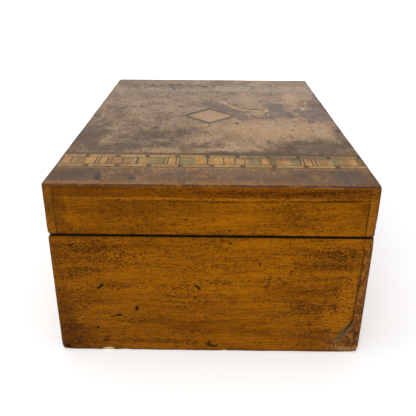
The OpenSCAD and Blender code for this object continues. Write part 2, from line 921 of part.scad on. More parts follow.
module lid_top_board() {
    color("sienna") block([-board_x, -board_y, ceiling_z], [board_x, board_y, veneer_z]);
}

module lid_front_veneer() {
    color("saddlebrown") long_veneer(-1, lid_z, veneer_z);
}

module lid_back_veneer() {
    color("saddlebrown") difference() {
        long_veneer(1, lid_z, veneer_z);
        knuckle_cuts();
        back_bevel(1);
    }
}

module lid_left_veneer() {
    color("darkgoldenrod") difference() {
        end_veneer(-1, lid_z, veneer_z);
        back_bevel(1);
    }
}

module lid_right_veneer() {
    color("darkgoldenrod") difference() {
        end_veneer(1, lid_z, veneer_z);
        back_bevel(1);
    }
}

module lid_wall_lining() {
    color("slateblue") difference() {
        wall_paper(lid_z, ceiling_z - lining_t);
        block([-plate_l / 2 - over, -half_w, 0], [plate_l / 2 + over, 0, seam_z + plate_t + over]);
    }
}

module lid_top_lining() {
    color("slateblue") block([-in_x, -in_y, ceiling_z - lining_t], [in_x, in_y, ceiling_z]);
}

// ---- Veneer and inlays on the lid ----

module in_veneer() {
    intersection() {
        translate([0, 0, veneer_z]) linear_extrude(veneer_t) children();
        envelope();
    }
}

// A diamond whose corners lie this much inside the outer ones, measured square to its sides
module diamond(inside) {
    k = inside * sqrt(1 / (diamond_l * diamond_l) + 1 / (diamond_w * diamond_w)) * 2;
    l = diamond_l / 2 * (1 - k);
    w = diamond_w / 2 * (1 - k);
    translate([diamond_x, diamond_y]) polygon([[l, 0], [0, w], [-l, 0], [0, -w]]);
}

module top_field_veneer() {
    color("rosybrown") in_veneer() difference() {
        square([2 * field_x, box_w], center = true);
        diamond(0);
    }
}

module top_end_veneers() {
    color("rosybrown") in_veneer() for (side = [-1, 1])
        translate([side * (half_l - band_from_end / 2), 0]) square([band_from_end, box_w], center = true);
}

module diamond_border() {
    color("black") in_veneer() difference() {
        diamond(0);
        diamond(diamond_line);
    }
}

module diamond_panel() {
    color("wheat") in_veneer() diamond(diamond_line);
}

// A piece across row n of the banding at each end, from t0 to t1 mm in from the back
module band_piece(n, t0, t1) {
    row_x = half_l - band_from_end - total(BAND_ROWS, n) - BAND_ROWS[n][1];
    start = max(t0, 0);
    end = min(t1, box_w);
    if (start < end)
        for (x = [row_x, -row_x - BAND_ROWS[n][1]])
            translate([x, half_w - end]) square([BAND_ROWS[n][1], end - start]);
}

// All the pieces of one wood in both bandings
module band_shapes(wood) {
    for (n = [0 : len(BAND_ROWS) - 1]) {
        if (BAND_ROWS[n][0] == wood)
            band_piece(n, 0, box_w);
        if (BAND_ROWS[n][0] == "tesserae")
            for (s = [0 : strips - 1], i = [0 : len(TESSERAE) - 1])
                if (TESSERAE[i][0] == wood)
                    band_piece(n, s * strip_l + total(TESSERAE, i), s * strip_l + total(TESSERAE, i + 1));
        if (BAND_ROWS[n][0] == "dashes")
            for (i = [-1 : ceil(box_w / dash_pitch)]) {
                dash_start = i * dash_pitch - BAND_ROWS[n][2];
                if (wood == "boxwood")
                    band_piece(n, dash_start, dash_start + dash_l);
                if (wood == "ebony")
                    band_piece(n, dash_start + dash_l, dash_start + dash_pitch);
            }
    }
}

module band_boxwood() {
    color("khaki") in_veneer() band_shapes("boxwood");
}

module band_satinwood() {
    color("orange") in_veneer() band_shapes("satinwood");
}

module band_ebony() {
    color("black") in_veneer() band_shapes("ebony");
}

module band_green_holly() {
    color("olivedrab") in_veneer() band_shapes("green_holly");
}

module band_walnut() {
    color("brown") in_veneer() band_shapes("walnut");
}

module band_pearwood() {
    color("salmon") in_veneer() band_shapes("pearwood");
}

bottom_board();
base_front_board();
base_back_board();
base_left_board();
base_right_board();
false_floor();
base_front_veneer();
base_back_veneer();
base_left_veneer();
base_right_veneer();
base_wall_lining();
floor_lining();
bottom_brads();
lock_case();
lock_cap();
lock_top_plate();
lock_spring();
lock_screws();
keyhole_escutcheon();
slip_stop_pin();
left_hinge_base_leaf();
right_hinge_base_leaf();
left_hinge_pin();
right_hinge_pin();
base_hinge_screws();
lid_front_board();
lid_back_board();
lid_left_board();
lid_right_board();
lid_top_board();
lid_front_veneer();
lid_back_veneer();
lid_left_veneer();
lid_right_veneer();
top_field_veneer();
top_end_veneers();
band_boxwood();
band_satinwood();
band_ebony();
band_green_holly();
band_walnut();
band_pearwood();
diamond_border();
diamond_panel();
lid_wall_lining();
lid_top_lining();
link_plate();
link_plate_screws();
left_hinge_lid_leaf();
right_hinge_lid_leaf();
lid_hinge_screws();
lock_bolt();
front_slip();
drawer_front();
drawer_front_veneer();
drawer_sides();
drawer_back();
drawer_bottom();
key_tray();
key();
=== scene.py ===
import json
import math

import bmesh
import bpy
from mathutils import Matrix, Vector, noise


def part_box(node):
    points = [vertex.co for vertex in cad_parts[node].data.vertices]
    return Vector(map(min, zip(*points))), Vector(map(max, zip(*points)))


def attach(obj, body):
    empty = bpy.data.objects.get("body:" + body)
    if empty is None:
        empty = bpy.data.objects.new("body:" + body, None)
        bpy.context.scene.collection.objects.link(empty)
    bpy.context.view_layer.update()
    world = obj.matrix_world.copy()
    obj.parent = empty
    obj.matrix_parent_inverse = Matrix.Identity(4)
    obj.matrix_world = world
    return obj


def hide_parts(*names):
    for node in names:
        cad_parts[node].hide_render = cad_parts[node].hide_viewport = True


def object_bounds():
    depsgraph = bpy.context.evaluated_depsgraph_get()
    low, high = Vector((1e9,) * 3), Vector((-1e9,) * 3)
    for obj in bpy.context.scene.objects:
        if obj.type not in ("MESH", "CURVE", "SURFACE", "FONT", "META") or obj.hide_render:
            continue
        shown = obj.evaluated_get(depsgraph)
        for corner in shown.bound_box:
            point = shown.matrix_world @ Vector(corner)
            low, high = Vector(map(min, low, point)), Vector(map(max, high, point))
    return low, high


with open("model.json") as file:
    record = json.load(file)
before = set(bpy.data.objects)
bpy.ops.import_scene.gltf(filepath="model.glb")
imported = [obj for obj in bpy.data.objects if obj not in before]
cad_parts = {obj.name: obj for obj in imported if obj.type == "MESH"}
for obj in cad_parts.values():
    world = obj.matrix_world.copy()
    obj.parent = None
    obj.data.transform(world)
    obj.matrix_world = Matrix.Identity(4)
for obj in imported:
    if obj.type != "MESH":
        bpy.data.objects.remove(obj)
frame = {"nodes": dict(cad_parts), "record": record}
CAD_BOX = [list(corner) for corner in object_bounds()]

MM = 0.001
MM_PER_M = 1000.0


def in_mm(length):
    return length * MM_PER_M


# ---- Sizes taken from the frame, in metres ----

HALF_L, HALF_W, BOX_H = CAD_BOX[1]
BASE_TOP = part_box("base_left_veneer")[1][2]
LID_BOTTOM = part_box("lid_left_veneer")[0][2]
DIAMOND_LOW, DIAMOND_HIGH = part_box("diamond_border")

# ---- And in millimetres, as the finishes use them ----

END_MM, SIDE_MM, TOP_MM = in_mm(HALF_L), in_mm(HALF_W), in_mm(BOX_H)
BASE_TOP_MM = in_mm(BASE_TOP)
FLOOR_TOP_MM = in_mm(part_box("floor_lining")[1][2])
SEAM_MM = in_mm((BASE_TOP + LID_BOTTOM) / 2)
HALF_GAP = in_mm(LID_BOTTOM - BASE_TOP) / 2
JOINT_IN = in_mm(HALF_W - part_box("lid_left_board")[1][1])   # from an upright corner to the joint
TOP_JOINT = in_mm(BOX_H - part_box("lid_top_board")[0][2])    # from the top to the joint under it


def paint(red, green, blue):
    """A colour written as 0-255 display values, as Blender's linear RGBA."""
    linear = []
    for value in (red, green, blue):
        value /= 255
        linear.append(value / 12.92 if value <= 0.04045 else ((value + 0.055) / 1.055) ** 2.4)
    return (*linear, 1.0)


# ---- Short ways to build node trees ----

class Tree:
    """A shader node tree. A value may be a number, a tuple or another node's output."""

    def __init__(self, tree):
        self.tree = tree

    def put(self, socket, value):
        if isinstance(value, bpy.types.NodeSocket):
            self.tree.links.new(value, socket)
        else:
            socket.default_value = value

    def add(self, kind, values=None, **settings):
        node = self.tree.nodes.new("ShaderNode" + kind)
        for key, value in settings.items():
            setattr(node, key, value)
        for key, value in (values or {}).items():
            self.put(node.inputs[key], value)
        return node

    def math(self, operation, a, b=0.0, c=0.0):
        return self.add("Math", {0: a, 1: b, 2: c}, operation=operation).outputs[0]

    def times(self, a, b):
        return self.math("MULTIPLY", a, b)

    def plus(self, a, b):
        return self.math("ADD", a, b)

    def minus(self, a, b):
        return self.math("SUBTRACT", a, b)

    def size(self, a):
        """A value without its sign."""
        return self.math("ABSOLUTE", a)

    def most(self, *values):
        result = values[0]
        for value in values[1:]:
            result = self.math("MAXIMUM", result, value)
        return result

    def rise(self, value, start, end, low=0.0, high=1.0):
        """Goes smoothly from low to high as value goes from start to end."""
        return self.add("MapRange", {0: value, 1: start, 2: end, 3: low, 4: high},
                        interpolation_type="SMOOTHSTEP", clamp=False).outputs[0]

    def band(self, value, start, full, thin, end):
        """1 while value is from full to thin, and softly down to 0 at start and end."""
        return self.times(self.rise(value, start, full), self.rise(value, end, thin))

    def mix(self, amount, a, b):
        return self.add("Mix", {0: amount, 6: a, 7: b}, data_type="RGBA").outputs[2]

    def coats(self, colour, *coats):
        """Lays coats of colour over a first one.

        Each is (mask, colour), (mask, strength, colour) or (mask, start, end, strength, colour),
        where the last one shows as the mask goes from start to end.
        """
        for mask, *how, over in coats:
            amount = mask
            if len(how) == 1:
                amount = self.times(mask, how[0])
            elif how:
                start, end, strength = how
                amount = self.rise(mask, start, end, 0.0, strength)
            colour = self.mix(amount, colour, over)
        return colour

    def parts(self, vector):
        node = self.add("SeparateXYZ", {0: vector})
        return node.outputs[0], node.outputs[1], node.outputs[2]

    def vector(self, x, y, z=0.0):
        return self.add("CombineXYZ", {0: x, 1: y, 2: z}).outputs[0]

    def vectors(self, operation, a, b):
        return self.add("VectorMath", {0: a, 1: b}, operation=operation).outputs[0]

    def stretch(self, vector, x, y, z):
        """Divides a place by the size of a pattern in each direction."""
        return self.vectors("MULTIPLY", vector, (1 / x, 1 / y, 1 / z))

    def shift(self, vector, x, y, z=0.0):
        return self.vectors("ADD", vector, (x, y, z))

    def length(self, vector):
        return self.add("VectorMath", {0: vector}, operation="LENGTH").outputs["Value"]

    def noise(self, vector, sizes=None, detail=2.0, roughness=0.5, distortion=0.0, colour=False):
        """Noise with bends of the given sizes in x, y and z."""
        if sizes:
            vector = self.stretch(vector, *sizes)
        node = self.add("TexNoise", {"Vector": vector, "Scale": 1.0, "Detail": detail,
                                     "Roughness": roughness, "Distortion": distortion})
        return node.outputs["Color" if colour else "Fac"]

    def wobble(self, vector, size, reach):
        """Moves a place about by up to half of reach, with bends of that size."""
        cloud = self.noise(vector, (size, size, size), detail=3.0, roughness=0.6, colour=True)
        push = self.vectors("SUBTRACT", cloud, (0.5, 0.5, 0.5))
        push = self.add("VectorMath", {0: push, 3: reach}, operation="SCALE").outputs[0]
        return self.vectors("ADD", vector, push)

    def away(self, vector, x, y, half_length, half_width, turn):
        """How far a place is from a turned oval's centre: 1 on its outline."""
        if turn == 0:
            scaled = self.add("VectorMath", {0: vector, 1: (1 / half_length, 1 / half_width, 0),
                                             2: (-x / half_length, -y / half_width, 0)},
                              operation="MULTIPLY_ADD").outputs[0]
            return self.length(scaled)
        cos, sin = math.cos(math.radians(turn)), math.sin(math.radians(turn))
        squares = 0.0
        for right, up, half in ((cos, sin, half_length), (-sin, cos, half_width)):
            along = self.add("VectorMath", {0: vector, 1: (right / half, up / half, 0)},
                             operation="DOT_PRODUCT").outputs["Value"]
            along = self.plus(along, -(x * right + y * up) / half)
            squares = self.math("MULTIPLY_ADD", along, along, squares)
        return self.math("SQRT", squares)

    def spots(self, vector, marks, soft=0.5):
        """The strongest of some oval marks: (x, y, half length, half width, turn, strength)."""
        result = 0.0
        for x, y, half_length, half_width, turn, strength in marks:
            away = self.away(vector, x, y, half_length, half_width, turn)
            result = self.most(result, self.rise(away, 1 + soft, 1 - soft, 0.0, strength))
        return result

    def group(self, name, values):
        node = self.tree.nodes.new("ShaderNodeGroup")
        node.node_tree = bpy.data.node_groups[name]
        for key, value in values.items():
            self.put(node.inputs[key], value)
        return node.outputs


def new_group(name, values, *gives):
    """A shader node group that takes a Place and some values, and gives masks and patterns.

    Returns its Tree, its input sockets by name, and a function that sets an output.
    """
    made = bpy.data.node_groups.new(name, "ShaderNodeTree")
    made.interface.new_socket("Place", in_out="INPUT", socket_type="NodeSocketVector")
    for label, value in values.items():
        socket = made.interface.new_socket(label, in_out="INPUT", socket_type="NodeSocketFloat")
        socket.default_value = value
    for label in gives:
        made.interface.new_socket(label, in_out="OUTPUT", socket_type="NodeSocketFloat")
    start = made.nodes.new("NodeGroupInput")
    end = made.nodes.new("NodeGroupOutput")
    tree = Tree(made)
    return tree, start.outputs, lambda label, value: tree.put(end.inputs[label], value)


# ---- Patterns that several finishes share. Places are in millimetres ----

def make_grain():
    """Straight grain along x: dark flecks that crowd together, fine streaks and a slow figure."""
    t, takes, give = new_group("straight_grain", {"Crowd": 0.0, "Bend": 8.0},
                               "Flecks", "Streaks", "Figure", "Mottle")
    x, y, z = t.parts(takes["Place"])
    bend = t.noise(takes["Place"], (75, 60, 60), detail=1.5)
    bent = t.plus(y, t.times(t.minus(bend, 0.5), takes["Bend"]))
    place = t.vector(x, bent, z)
    crowd = t.noise(place, (34, 8, 8), detail=3.0, roughness=0.6)
    more = t.plus(t.times(t.minus(crowd, 0.5), 0.34), t.times(takes["Crowd"], 0.085))
    short = t.noise(place, (1.9, 0.72, 0.72), detail=2.0, roughness=0.6)
    small = t.noise(place, (1.1, 0.4, 0.4), detail=1.0)
    first = t.rise(t.plus(short, more), 0.56, 0.69)
    second = t.rise(t.plus(small, more), 0.585, 0.72, 0.0, 0.75)
    give("Flecks", t.most(first, second))
    fine = t.noise(place, (16, 0.7, 0.7), detail=3.0, roughness=0.65)
    broad = t.noise(place, (42, 1.9, 1.9), detail=3.0, roughness=0.6)
    give("Streaks", t.plus(t.times(fine, 0.45), t.times(broad, 0.55)))
    give("Figure", t.noise(place, (55, 12, 12), detail=4.0, roughness=0.6))
    give("Mottle", t.noise(place, (5.5, 2.1, 2.1), detail=4.0, roughness=0.7))


def make_burr():
    """Burr: curling cloudy figure, small eyes and fine dark flecks."""
    t, takes, give = new_group("burr_figure", {"Crowd": 0.0}, "Cloud", "Curl", "Eyes", "Fleck", "Grain")
    place = t.wobble(takes["Place"], 24, 26)
    give("Cloud", t.noise(place, (26, 20, 22), detail=5.0, roughness=0.62))
    give("Curl", t.noise(place, (7, 4.5, 6), detail=5.0, roughness=0.68, distortion=1.2))
    cells = t.add("TexVoronoi", {"Vector": t.stretch(place, 9, 8, 8), "Scale": 1.0})
    chance = t.parts(cells.outputs["Color"])[0]
    give("Eyes", t.times(t.rise(cells.outputs["Distance"], 0.26, 0.06), t.rise(chance, 0.7, 0.8)))
    crowd = t.noise(place, (18, 13, 14), detail=3.0, roughness=0.6)
    more = t.plus(t.times(t.minus(crowd, 0.5), 0.45), t.times(takes["Crowd"], 0.12))
    fleck = t.noise(place, (2.6, 1.25, 1.5), detail=4.0, roughness=0.72)
    give("Fleck", t.rise(t.plus(fleck, more), 0.53, 0.61))
    give("Grain", t.noise(place, (3.4, 1.7, 2), detail=4.0, roughness=0.75))


def make_edge_wear():
    """Wear and dirt by the outside edges (1 at an edge), the foot and the seam of base and lid, and
    painted shade on the rims in the gap of that seam.
    """
    t, takes, give = new_group("edge_wear", {"Reach": 4.0}, "Rub", "Grime", "Seam")
    x, y, z = t.parts(takes["Place"])
    from_end = t.minus(END_MM, t.size(x))
    from_side = t.minus(SIDE_MM, t.size(y))
    from_top = t.minus(TOP_MM, z)
    ragged = t.noise(takes["Place"], (7, 7, 7), detail=5.0, roughness=0.7)
    reach = t.times(takes["Reach"], t.rise(ragged, 0.3, 0.75, 0.15, 1.7))
    result = None
    edges = ((from_end, from_side), (from_end, from_top), (from_side, from_top), (from_end, z),
             (from_side, z))
    for first, second in edges:
        away = t.most(first, second)
        near = t.rise(t.math("DIVIDE", away, reach), 1.0, 0.2)
        result = near if result is None else t.most(result, near)
    give("Rub", result)
    foot = t.rise(t.minus(z, t.times(t.minus(ragged, 0.5), 12)), 5.0, 0.0)
    from_seam = t.size(t.minus(z, SEAM_MM))
    give("Grime", t.most(t.rise(from_seam, 2.2, 0.5, 0.0, 0.6), foot))
    # Painted shade: darkens the rims in the gap between base and lid, near the outside, where that gap
    # lies in shadow
    uneven = t.minus(from_seam, t.times(t.minus(ragged, 0.5), 0.6))
    lip = t.rise(uneven, HALF_GAP + 0.75, HALF_GAP + 0.35)
    outside = t.rise(t.math("MINIMUM", from_end, from_side), 3.4, 1.4)
    give("Seam", t.times(lip, outside))


# Marks on the lid, each (from the back, from the left end, half length, half width, turn, strength)
LID_STAINS = [
    (104, 190, 16, 8.5, -48, 1.0), (113, 177, 11, 7.5, -62, 1.0), (98, 198, 7, 6, 0, 0.9),
    (156, 191, 10, 9, 0, 0.95), (158, 180, 12, 6.5, 72, 1.0), (164, 168, 10, 6, 118, 0.95),
    (156, 158, 10, 6.5, 24, 1.0), (168, 154, 7, 5, 64, 0.95), (149, 152, 6, 3.2, 0, 0.9),
    (151, 164, 9, 5, 95, 0.9), (146, 150, 11, 2.6, -6, 0.95), (124, 164, 12, 5, -62, 0.8),
    (127, 149, 8, 6, 90, 0.85), (136, 154, 5, 3, 120, 0.85), (190, 164, 17, 13, 70, 1.0),
    (196, 190, 24, 7, 94, 1.0), (178, 174, 10, 6, 60, 0.85), (201, 214, 26, 4.5, 90, 0.9),
    (183, 141, 8, 4, 92, 1.0), (198, 150, 9, 6, 90, 0.9), (112, 214, 6, 3, 120, 0.7),
    (117, 223, 4, 3, 90, 0.65), (122, 206, 6, 2.6, 110, 0.6), (86, 113, 12, 4.5, 96, 0.58),
    (70, 127, 12, 5, 90, 0.48), (126, 236, 10, 1.8, 92, 0.6), (186, 206, 7, 2.6, 96, 0.6),
    (9, 104, 17, 7, 98, 0.55), (10, 82, 16, 7, 85, 0.5),
]
LID_SMOKE = [
    (8, 97, 44, 18, 90, 0.75), (36, 94, 20, 14, 60, 0.55), (56, 98, 24, 17, 20, 0.75),
    (78, 104, 17, 15, 0, 0.65), (28, 68, 22, 9, 4, 0.8), (66, 80, 20, 11, 0, 0.6),
    (96, 79, 12, 10, 0, 0.5), (176, 72, 30, 18, 12, 0.85), (158, 66, 14, 13, 0, 0.7),
    (190, 62, 20, 9, 0, 0.55), (146, 84, 9, 6, 0, 0.5), (125, 58, 36, 4, 0, 0.9),
    (199, 88, 34, 6, 90, 0.75), (12, 14, 16, 13, 0, 1.0), (160, 24, 14, 6, 0, 0.6),
    (190, 15, 14, 14, 0, 0.9), (156, 55, 56, 12, 0, 0.75), (36, 112, 30, 14, 90, 0.5),
    (86, 12, 26, 9, 0, 0.55), (60, 160, 14, 9, 90, 0.4), (20, 172, 34, 14, 90, 0.45),
    (54, 194, 12, 8, 60, 0.5), (40, 72, 18, 10, 0, 0.9), (88, 72, 34, 8, 0, 0.6),
    (62, 146, 13, 10, 0, 0.5), (60, 12, 60, 12, 0, 0.4), (36, 226, 26, 12, 80, 0.35),
    (150, 262, 44, 12, 0, 0.3), (104, 240, 50, 8, 0, 0.3), (70, 268, 50, 14, 0, 0.6),
    (20, 268, 24, 20, 0, 0.5), (130, 10, 34, 9, 0, 0.45), (188, 44, 14, 8, 90, 0.6),
    (157, 17, 4, 6, 0, 0.8), (171, 18, 5, 7, 0, 0.7), (183, 16, 4, 8, 0, 0.8), (192, 20, 4, 7, 0, 0.7),
    (108, 10, 7, 4, 0, 0.5), (84, 16, 5, 6, 0, 0.5), (24, 18, 8, 5, 0, 0.6),
]
LID_PALE_PATCHES = [
    (150, 116, 48, 26, 0, 1.0), (176, 216, 26, 12, 90, 0.9), (134, 212, 30, 11, 75, 0.6),
    (28, 214, 30, 14, 90, 0.5), (22, 84, 16, 5, 90, 0.75), (62, 64, 10, 4, 0, 0.9),
    (108, 70, 20, 7, 0, 0.9), (98, 96, 20, 9, 90, 0.5), (33, 128, 30, 9, 86, 0.4),
    (172, 150, 12, 2.4, 90, 0.9), (140, 163, 9, 6, 0, 0.7),
]
LID_SPECKS = [
    (57.5, 119, 4, 2.2, 90, 0.9), (71, 92, 2.6, 2.2, 0, 0.9), (68, 77, 5, 2.4, 80, 0.8),
    (68, 162, 1.6, 1.4, 0, 0.9), (74, 152, 2.4, 2, 0, 0.95), (99.5, 127, 5, 1.1, 92, 1.0),
    (97, 120.5, 2, 1, 20, 0.8), (122, 133, 3.6, 1.2, 90, 0.9), (179.5, 124, 3.8, 1.2, 0, 0.9),
    (180, 115, 5, 0.9, 92, 0.7), (164.5, 114, 3.4, 1.1, 94, 0.8), (199.5, 112, 3.2, 2.4, 90, 1.0),
    (118.5, 53.5, 2.2, 1.1, 56, 1.0), (31, 13, 7.5, 2.6, 100, 1.1), (52.5, 10.5, 3.4, 2.6, 90, 1.1),
    (178, 24, 2.4, 2, 0, 0.85), (141, 28, 4, 1.6, 90, 0.8), (23, 148, 1.3, 1.1, 0, 0.7),
    (102, 246, 7.5, 1.4, 0, 1.0), (93, 268, 4, 3, 90, 0.9), (62, 259, 9, 1.6, 92, 0.75),
    (39, 270, 4, 3, 90, 0.7), (58, 277, 6, 2.2, 90, 0.6), (162, 273, 5, 2, 90, 0.6),
    (74, 185, 3.4, 2.6, 90, 0.8), (38.5, 184, 3.2, 2.6, 90, 0.7), (4.5, 153, 7, 3, 92, 0.8),
    (183, 18, 12, 3, 92, 0.6), (75, 152, 5, 1.6, 0, 0.6), (20, 20, 9, 4, 30, 0.4),
    (44, 16, 7, 3, 0, 0.45), (84, 20, 10, 3, 20, 0.4), (160, 18, 8, 3, 100, 0.5),
    (122, 12, 9, 2.4, 10, 0.4),
]
LID_SCARS = [
    (130, 180.6, 3.6, 1.3, -34, 1.0), (135.6, 177.2, 3.8, 1.6, -30, 1.0), (142.4, 175, 4.6, 1.5, -2, 1.0),
    (144, 149, 4.2, 1.3, -8, 1.0), (137.6, 151.2, 2.8, 1.3, -45, 1.0), (123, 191.6, 5, 1.3, 92, 0.9),
    (98, 56.4, 70, 0.8, 0, 0.6), (168, 160, 1.2, 9, 4, 0.6), (116.6, 200, 5, 0.9, 92, 0.8),
]
LID_PALE_LINES = [
    (122.6, 181, 6, 1.2, -52, 0.9), (130, 174.4, 5, 1.3, -26, 1.0), (139, 171.8, 6, 1.3, -4, 1.0),
    (149.4, 172.4, 3.4, 1.9, 70, 1.0), (182, 180, 5.5, 1, 90, 0.9), (187, 200, 5, 0.8, 84, 0.7),
    (149.5, 158, 3.4, 0.8, 70, 0.8), (115, 196, 12, 1.4, 118, 0.45),
]


def make_lid_age():
    """What the years left on the lid: stains, smoke, bleached patches, specks, scars, scratches."""
    t, takes, give = new_group("lid_age", {}, "Stain", "Smoke", "Pale", "Speck", "Scar", "Scratch")
    x, y = t.parts(takes["Place"])[:2]
    flat = t.vector(t.minus(SIDE_MM, y), t.plus(x, END_MM))
    cloud = t.minus(t.noise(flat, (5, 10, 5), detail=5.0, roughness=0.68), 0.5)
    ragged = t.wobble(t.wobble(flat, 16, 9), 4.5, 3.4)
    stain = t.plus(t.spots(ragged, LID_STAINS, 0.5), t.times(cloud, 1.5))
    give("Stain", t.times(t.rise(stain, 0.42, 0.66), t.rise(cloud, -0.3, 0.25, 0.7, 1.0)))
    smoke = t.plus(t.spots(ragged, LID_SMOKE, 0.9), t.times(cloud, 1.7))
    give("Smoke", t.rise(smoke, 0.15, 0.9))
    give("Pale", t.rise(t.plus(t.spots(ragged, LID_PALE_PATCHES, 0.9), t.times(cloud, 0.8)), 0.1, 1.0))
    shaken = t.wobble(flat, 4, 1.6)
    middle = [in_mm(low + high) / 2 for low, high in zip(DIAMOND_LOW, DIAMOND_HIGH)]
    half = [in_mm(high - low) / 2 for low, high in zip(DIAMOND_LOW, DIAMOND_HIGH)]
    across = t.times(t.size(t.minus(y, middle[1])), 1 / half[1])
    along = t.times(t.size(t.minus(x, middle[0])), 1 / half[0])
    out = t.minus(t.plus(across, along), t.times(cloud, 0.16))
    # Dirt lies in the joint round the diamond, from just inside its outline (1) to a little outside
    dirt = t.times(t.rise(out, 0.93, 1.0), t.rise(out, 1.22, 1.08, 0.0, 0.62))
    give("Speck", t.most(t.spots(shaken, LID_SPECKS, 0.4), dirt))
    give("Scar", t.spots(shaken, LID_SCARS, 0.45))
    give("Scratch", t.spots(shaken, LID_PALE_LINES, 0.5))


# Marks on the left end, each (from the back, height, half length, half width, turn, strength)
END_HOLES = [
    (29, 50.6, 1.7, 1.0, 20, 1.0), (30.9, 52.2, 1.7, 0.9, 42, 1.0), (93.3, 51.5, 2.7, 1.0, -42, 1.0),
    (53, 34.6, 1.9, 1.0, 80, 1.0), (41.2, 29.2, 2.1, 0.9, 6, 1.0), (37.6, 28.2, 3.2, 0.55, 10, 0.9),
    (26, 19.2, 1.1, 0.9, 90, 1.0), (30.8, 8.3, 2.2, 1.1, 0, 0.85), (31.8, 11.2, 1.8, 0.8, 10, 0.75),
    (93.8, 17.3, 0.8, 0.7, 0, 0.9), (113.6, 84, 1.0, 0.8, 0, 0.9), (132.6, 69.4, 1.9, 0.55, 108, 0.9),
    (101.4, 5.2, 3.0, 1.6, -24, 0.85), (105, 4.2, 2.8, 1.1, 14, 0.8), (101, 7.6, 1.9, 1.0, 70, 0.8),
    (164.5, 50, 0.8, 0.6, 0, 0.8), (184.4, 45, 1.1, 0.7, 60, 0.8), (104.6, 56.8, 0.9, 0.5, 20, 0.8),
    (199.5, 15, 3.2, 1.7, 90, 0.75), (111.8, 80.4, 0.8, 0.6, 60, 0.7),
]
END_STREAKS = [
    (75, 45, 5.5, 0.55, -8, 0.9), (98.8, 41.5, 3.6, 0.4, 91, 0.8), (99.4, 28, 2.6, 0.35, 88, 0.7),
    (105.6, 31.2, 7, 0.4, 0, 0.8), (139.5, 58, 6, 0.35, 91, 0.7), (72, 66.3, 9, 0.5, -2, 0.7),
    (151, 83, 4, 0.35, 90, 0.6), (126, 83, 5, 0.35, 114, 0.5), (156, 34.6, 7, 0.6, 38, 0.75),
    (84, 112.6, 22, 0.5, 0, 0.8), (110, 112.2, 13, 0.6, 0, 0.9), (150, 112.8, 24, 0.45, 1, 0.8),
    (181, 113.4, 19, 0.75, 1.5, 0.95), (172, 119, 26, 1.1, 3, 0.6), (120, 118, 22, 0.8, -2, 0.4),
    (18, 42.4, 10, 0.5, 2, 0.6), (158, 42, 9, 0.5, 0, 0.6), (66, 8.4, 30, 1.6, 0, 0.5),
    (118, 34, 22, 0.5, -1, 0.45), (130, 26.6, 26, 0.45, 2, 0.4), (196.6, 101, 11, 0.5, 90, 0.6),
    (183.4, 37, 3, 0.5, 90, 0.8), (88, 90.6, 9, 0.5, 1, 0.7),
]
END_SMUDGES = [
    (116.5, 40.5, 5, 4, 10, 0.7), (4, 20, 34, 9, 90, 1.0), (10, 8, 18, 8, 0, 0.7),
    (3, 66, 20, 3, 90, 0.5), (194, 6, 14, 8, 0, 0.5), (172, 12, 12, 7, 0, 0.3), (201, 42, 44, 6, 90, 0.3),
    (170, 30, 16, 9, 90, 0.15), (30, 108, 30, 5, 0, 0.35), (60, 88, 60, 2, 0, 0.2),
    (176, 73, 18, 8, 14, 0.45), (24, 76, 24, 9, 0, 0.3), (50, 13, 32, 12, 0, 0.5),
    (60, 118, 60, 3, 0, 0.4), (160, 119, 44, 3, 0, 0.1), (114, 108, 12, 4, 0, 0.4),
    (190, 97, 12, 6, 0, 0.45), (38, 56, 14, 12, 0, 0.35), (62, 36, 14, 7, 0, 0.4),
    (112, 34, 12, 6, 0, 0.4), (38, 20, 14, 8, 0, 0.3), (76, 7, 52, 6, 0, 0.3),
    (18, 121.6, 34, 2.4, 0, 1.0), (26, 29, 20, 5, 0, 0.35), (52, 30, 30, 14, 0, 0.42),
    (62, 60, 30, 8, 0, 0.34), (60, 109, 56, 6, 0, 0.6), (7, 107, 15, 8, 90, 0.9),
    (30, 116, 26, 4, 0, 0.6), (160, 98, 26, 2, 6, 0.2),
]
END_GLOWS = [
    (190, 42, 18, 5, 84, 1.7), (182, 26, 11, 5, 110, 1.2), (112, 52, 60, 22, 0, 0.5),
    (110, 76, 60, 8, 0, 0.4), (104, 100, 60, 6, 0, 0.45), (60, 58, 40, 8, 0, 0.25),
    (50, 114.4, 50, 0.8, 0, 0.9), (150, 115.2, 50, 0.7, 0.5, 0.8), (172, 106, 20, 4, 0, 0.4),
    (150, 8, 24, 5, 0, 0.5), (160, 95, 36, 6, 0, 0.6), (160, 21, 30, 8, 0, 0.6),
    (124, 122, 70, 1.8, 0, 1.1), (154, 121.6, 28, 2, 0, 1.5),
]
END_CROWDS = [
    (22, 73, 26, 13, 0, 1.0), (104, 82, 14, 3.4, 0, 0.8), (176, 74, 24, 10, 12, 1.0),
    (170, 30, 14, 24, 0, 0.8), (12, 26, 12, 26, 0, 0.9), (80, 56, 60, 6, 0, 0.3),
    (130, 118, 70, 3, 0, 0.6), (186, 50, 8, 22, 0, 0.6),
]
END_CHIPS = [
    (32, 1.0, 3.8, 1.5, 4, 1.0), (29.4, 0.6, 1.6, 1.3, 0, 0.9), (111.5, 0.6, 1.4, 1, 0, 0.8),
    (193, 0.4, 9, 0.5, 1, 0.8), (170, 122.4, 16, 0.4, 0, 0.6), (70, 122.5, 9, 0.35, 0, 0.4),
]
END_CRACK = [
    (197.4, 70, 20, 0.35, 91, 0.7), (196.8, 48, 14, 0.4, 89.6, 0.8), (196.6, 32, 7, 0.5, 88, 0.95),
    (195.6, 25, 3.6, 0.6, 74, 0.95), (193, 20.2, 4.4, 0.5, 60, 0.9), (4.4, 3.2, 2.6, 1.2, -24, 1.0),
    (66, 0.8, 1.4, 0.8, 0, 0.7),
]
END_FILLER = [
    (193.2, 19.6, 7.5, 2.0, 58, 0.85), (190.4, 14.4, 4.4, 2.2, 50, 0.75),
]
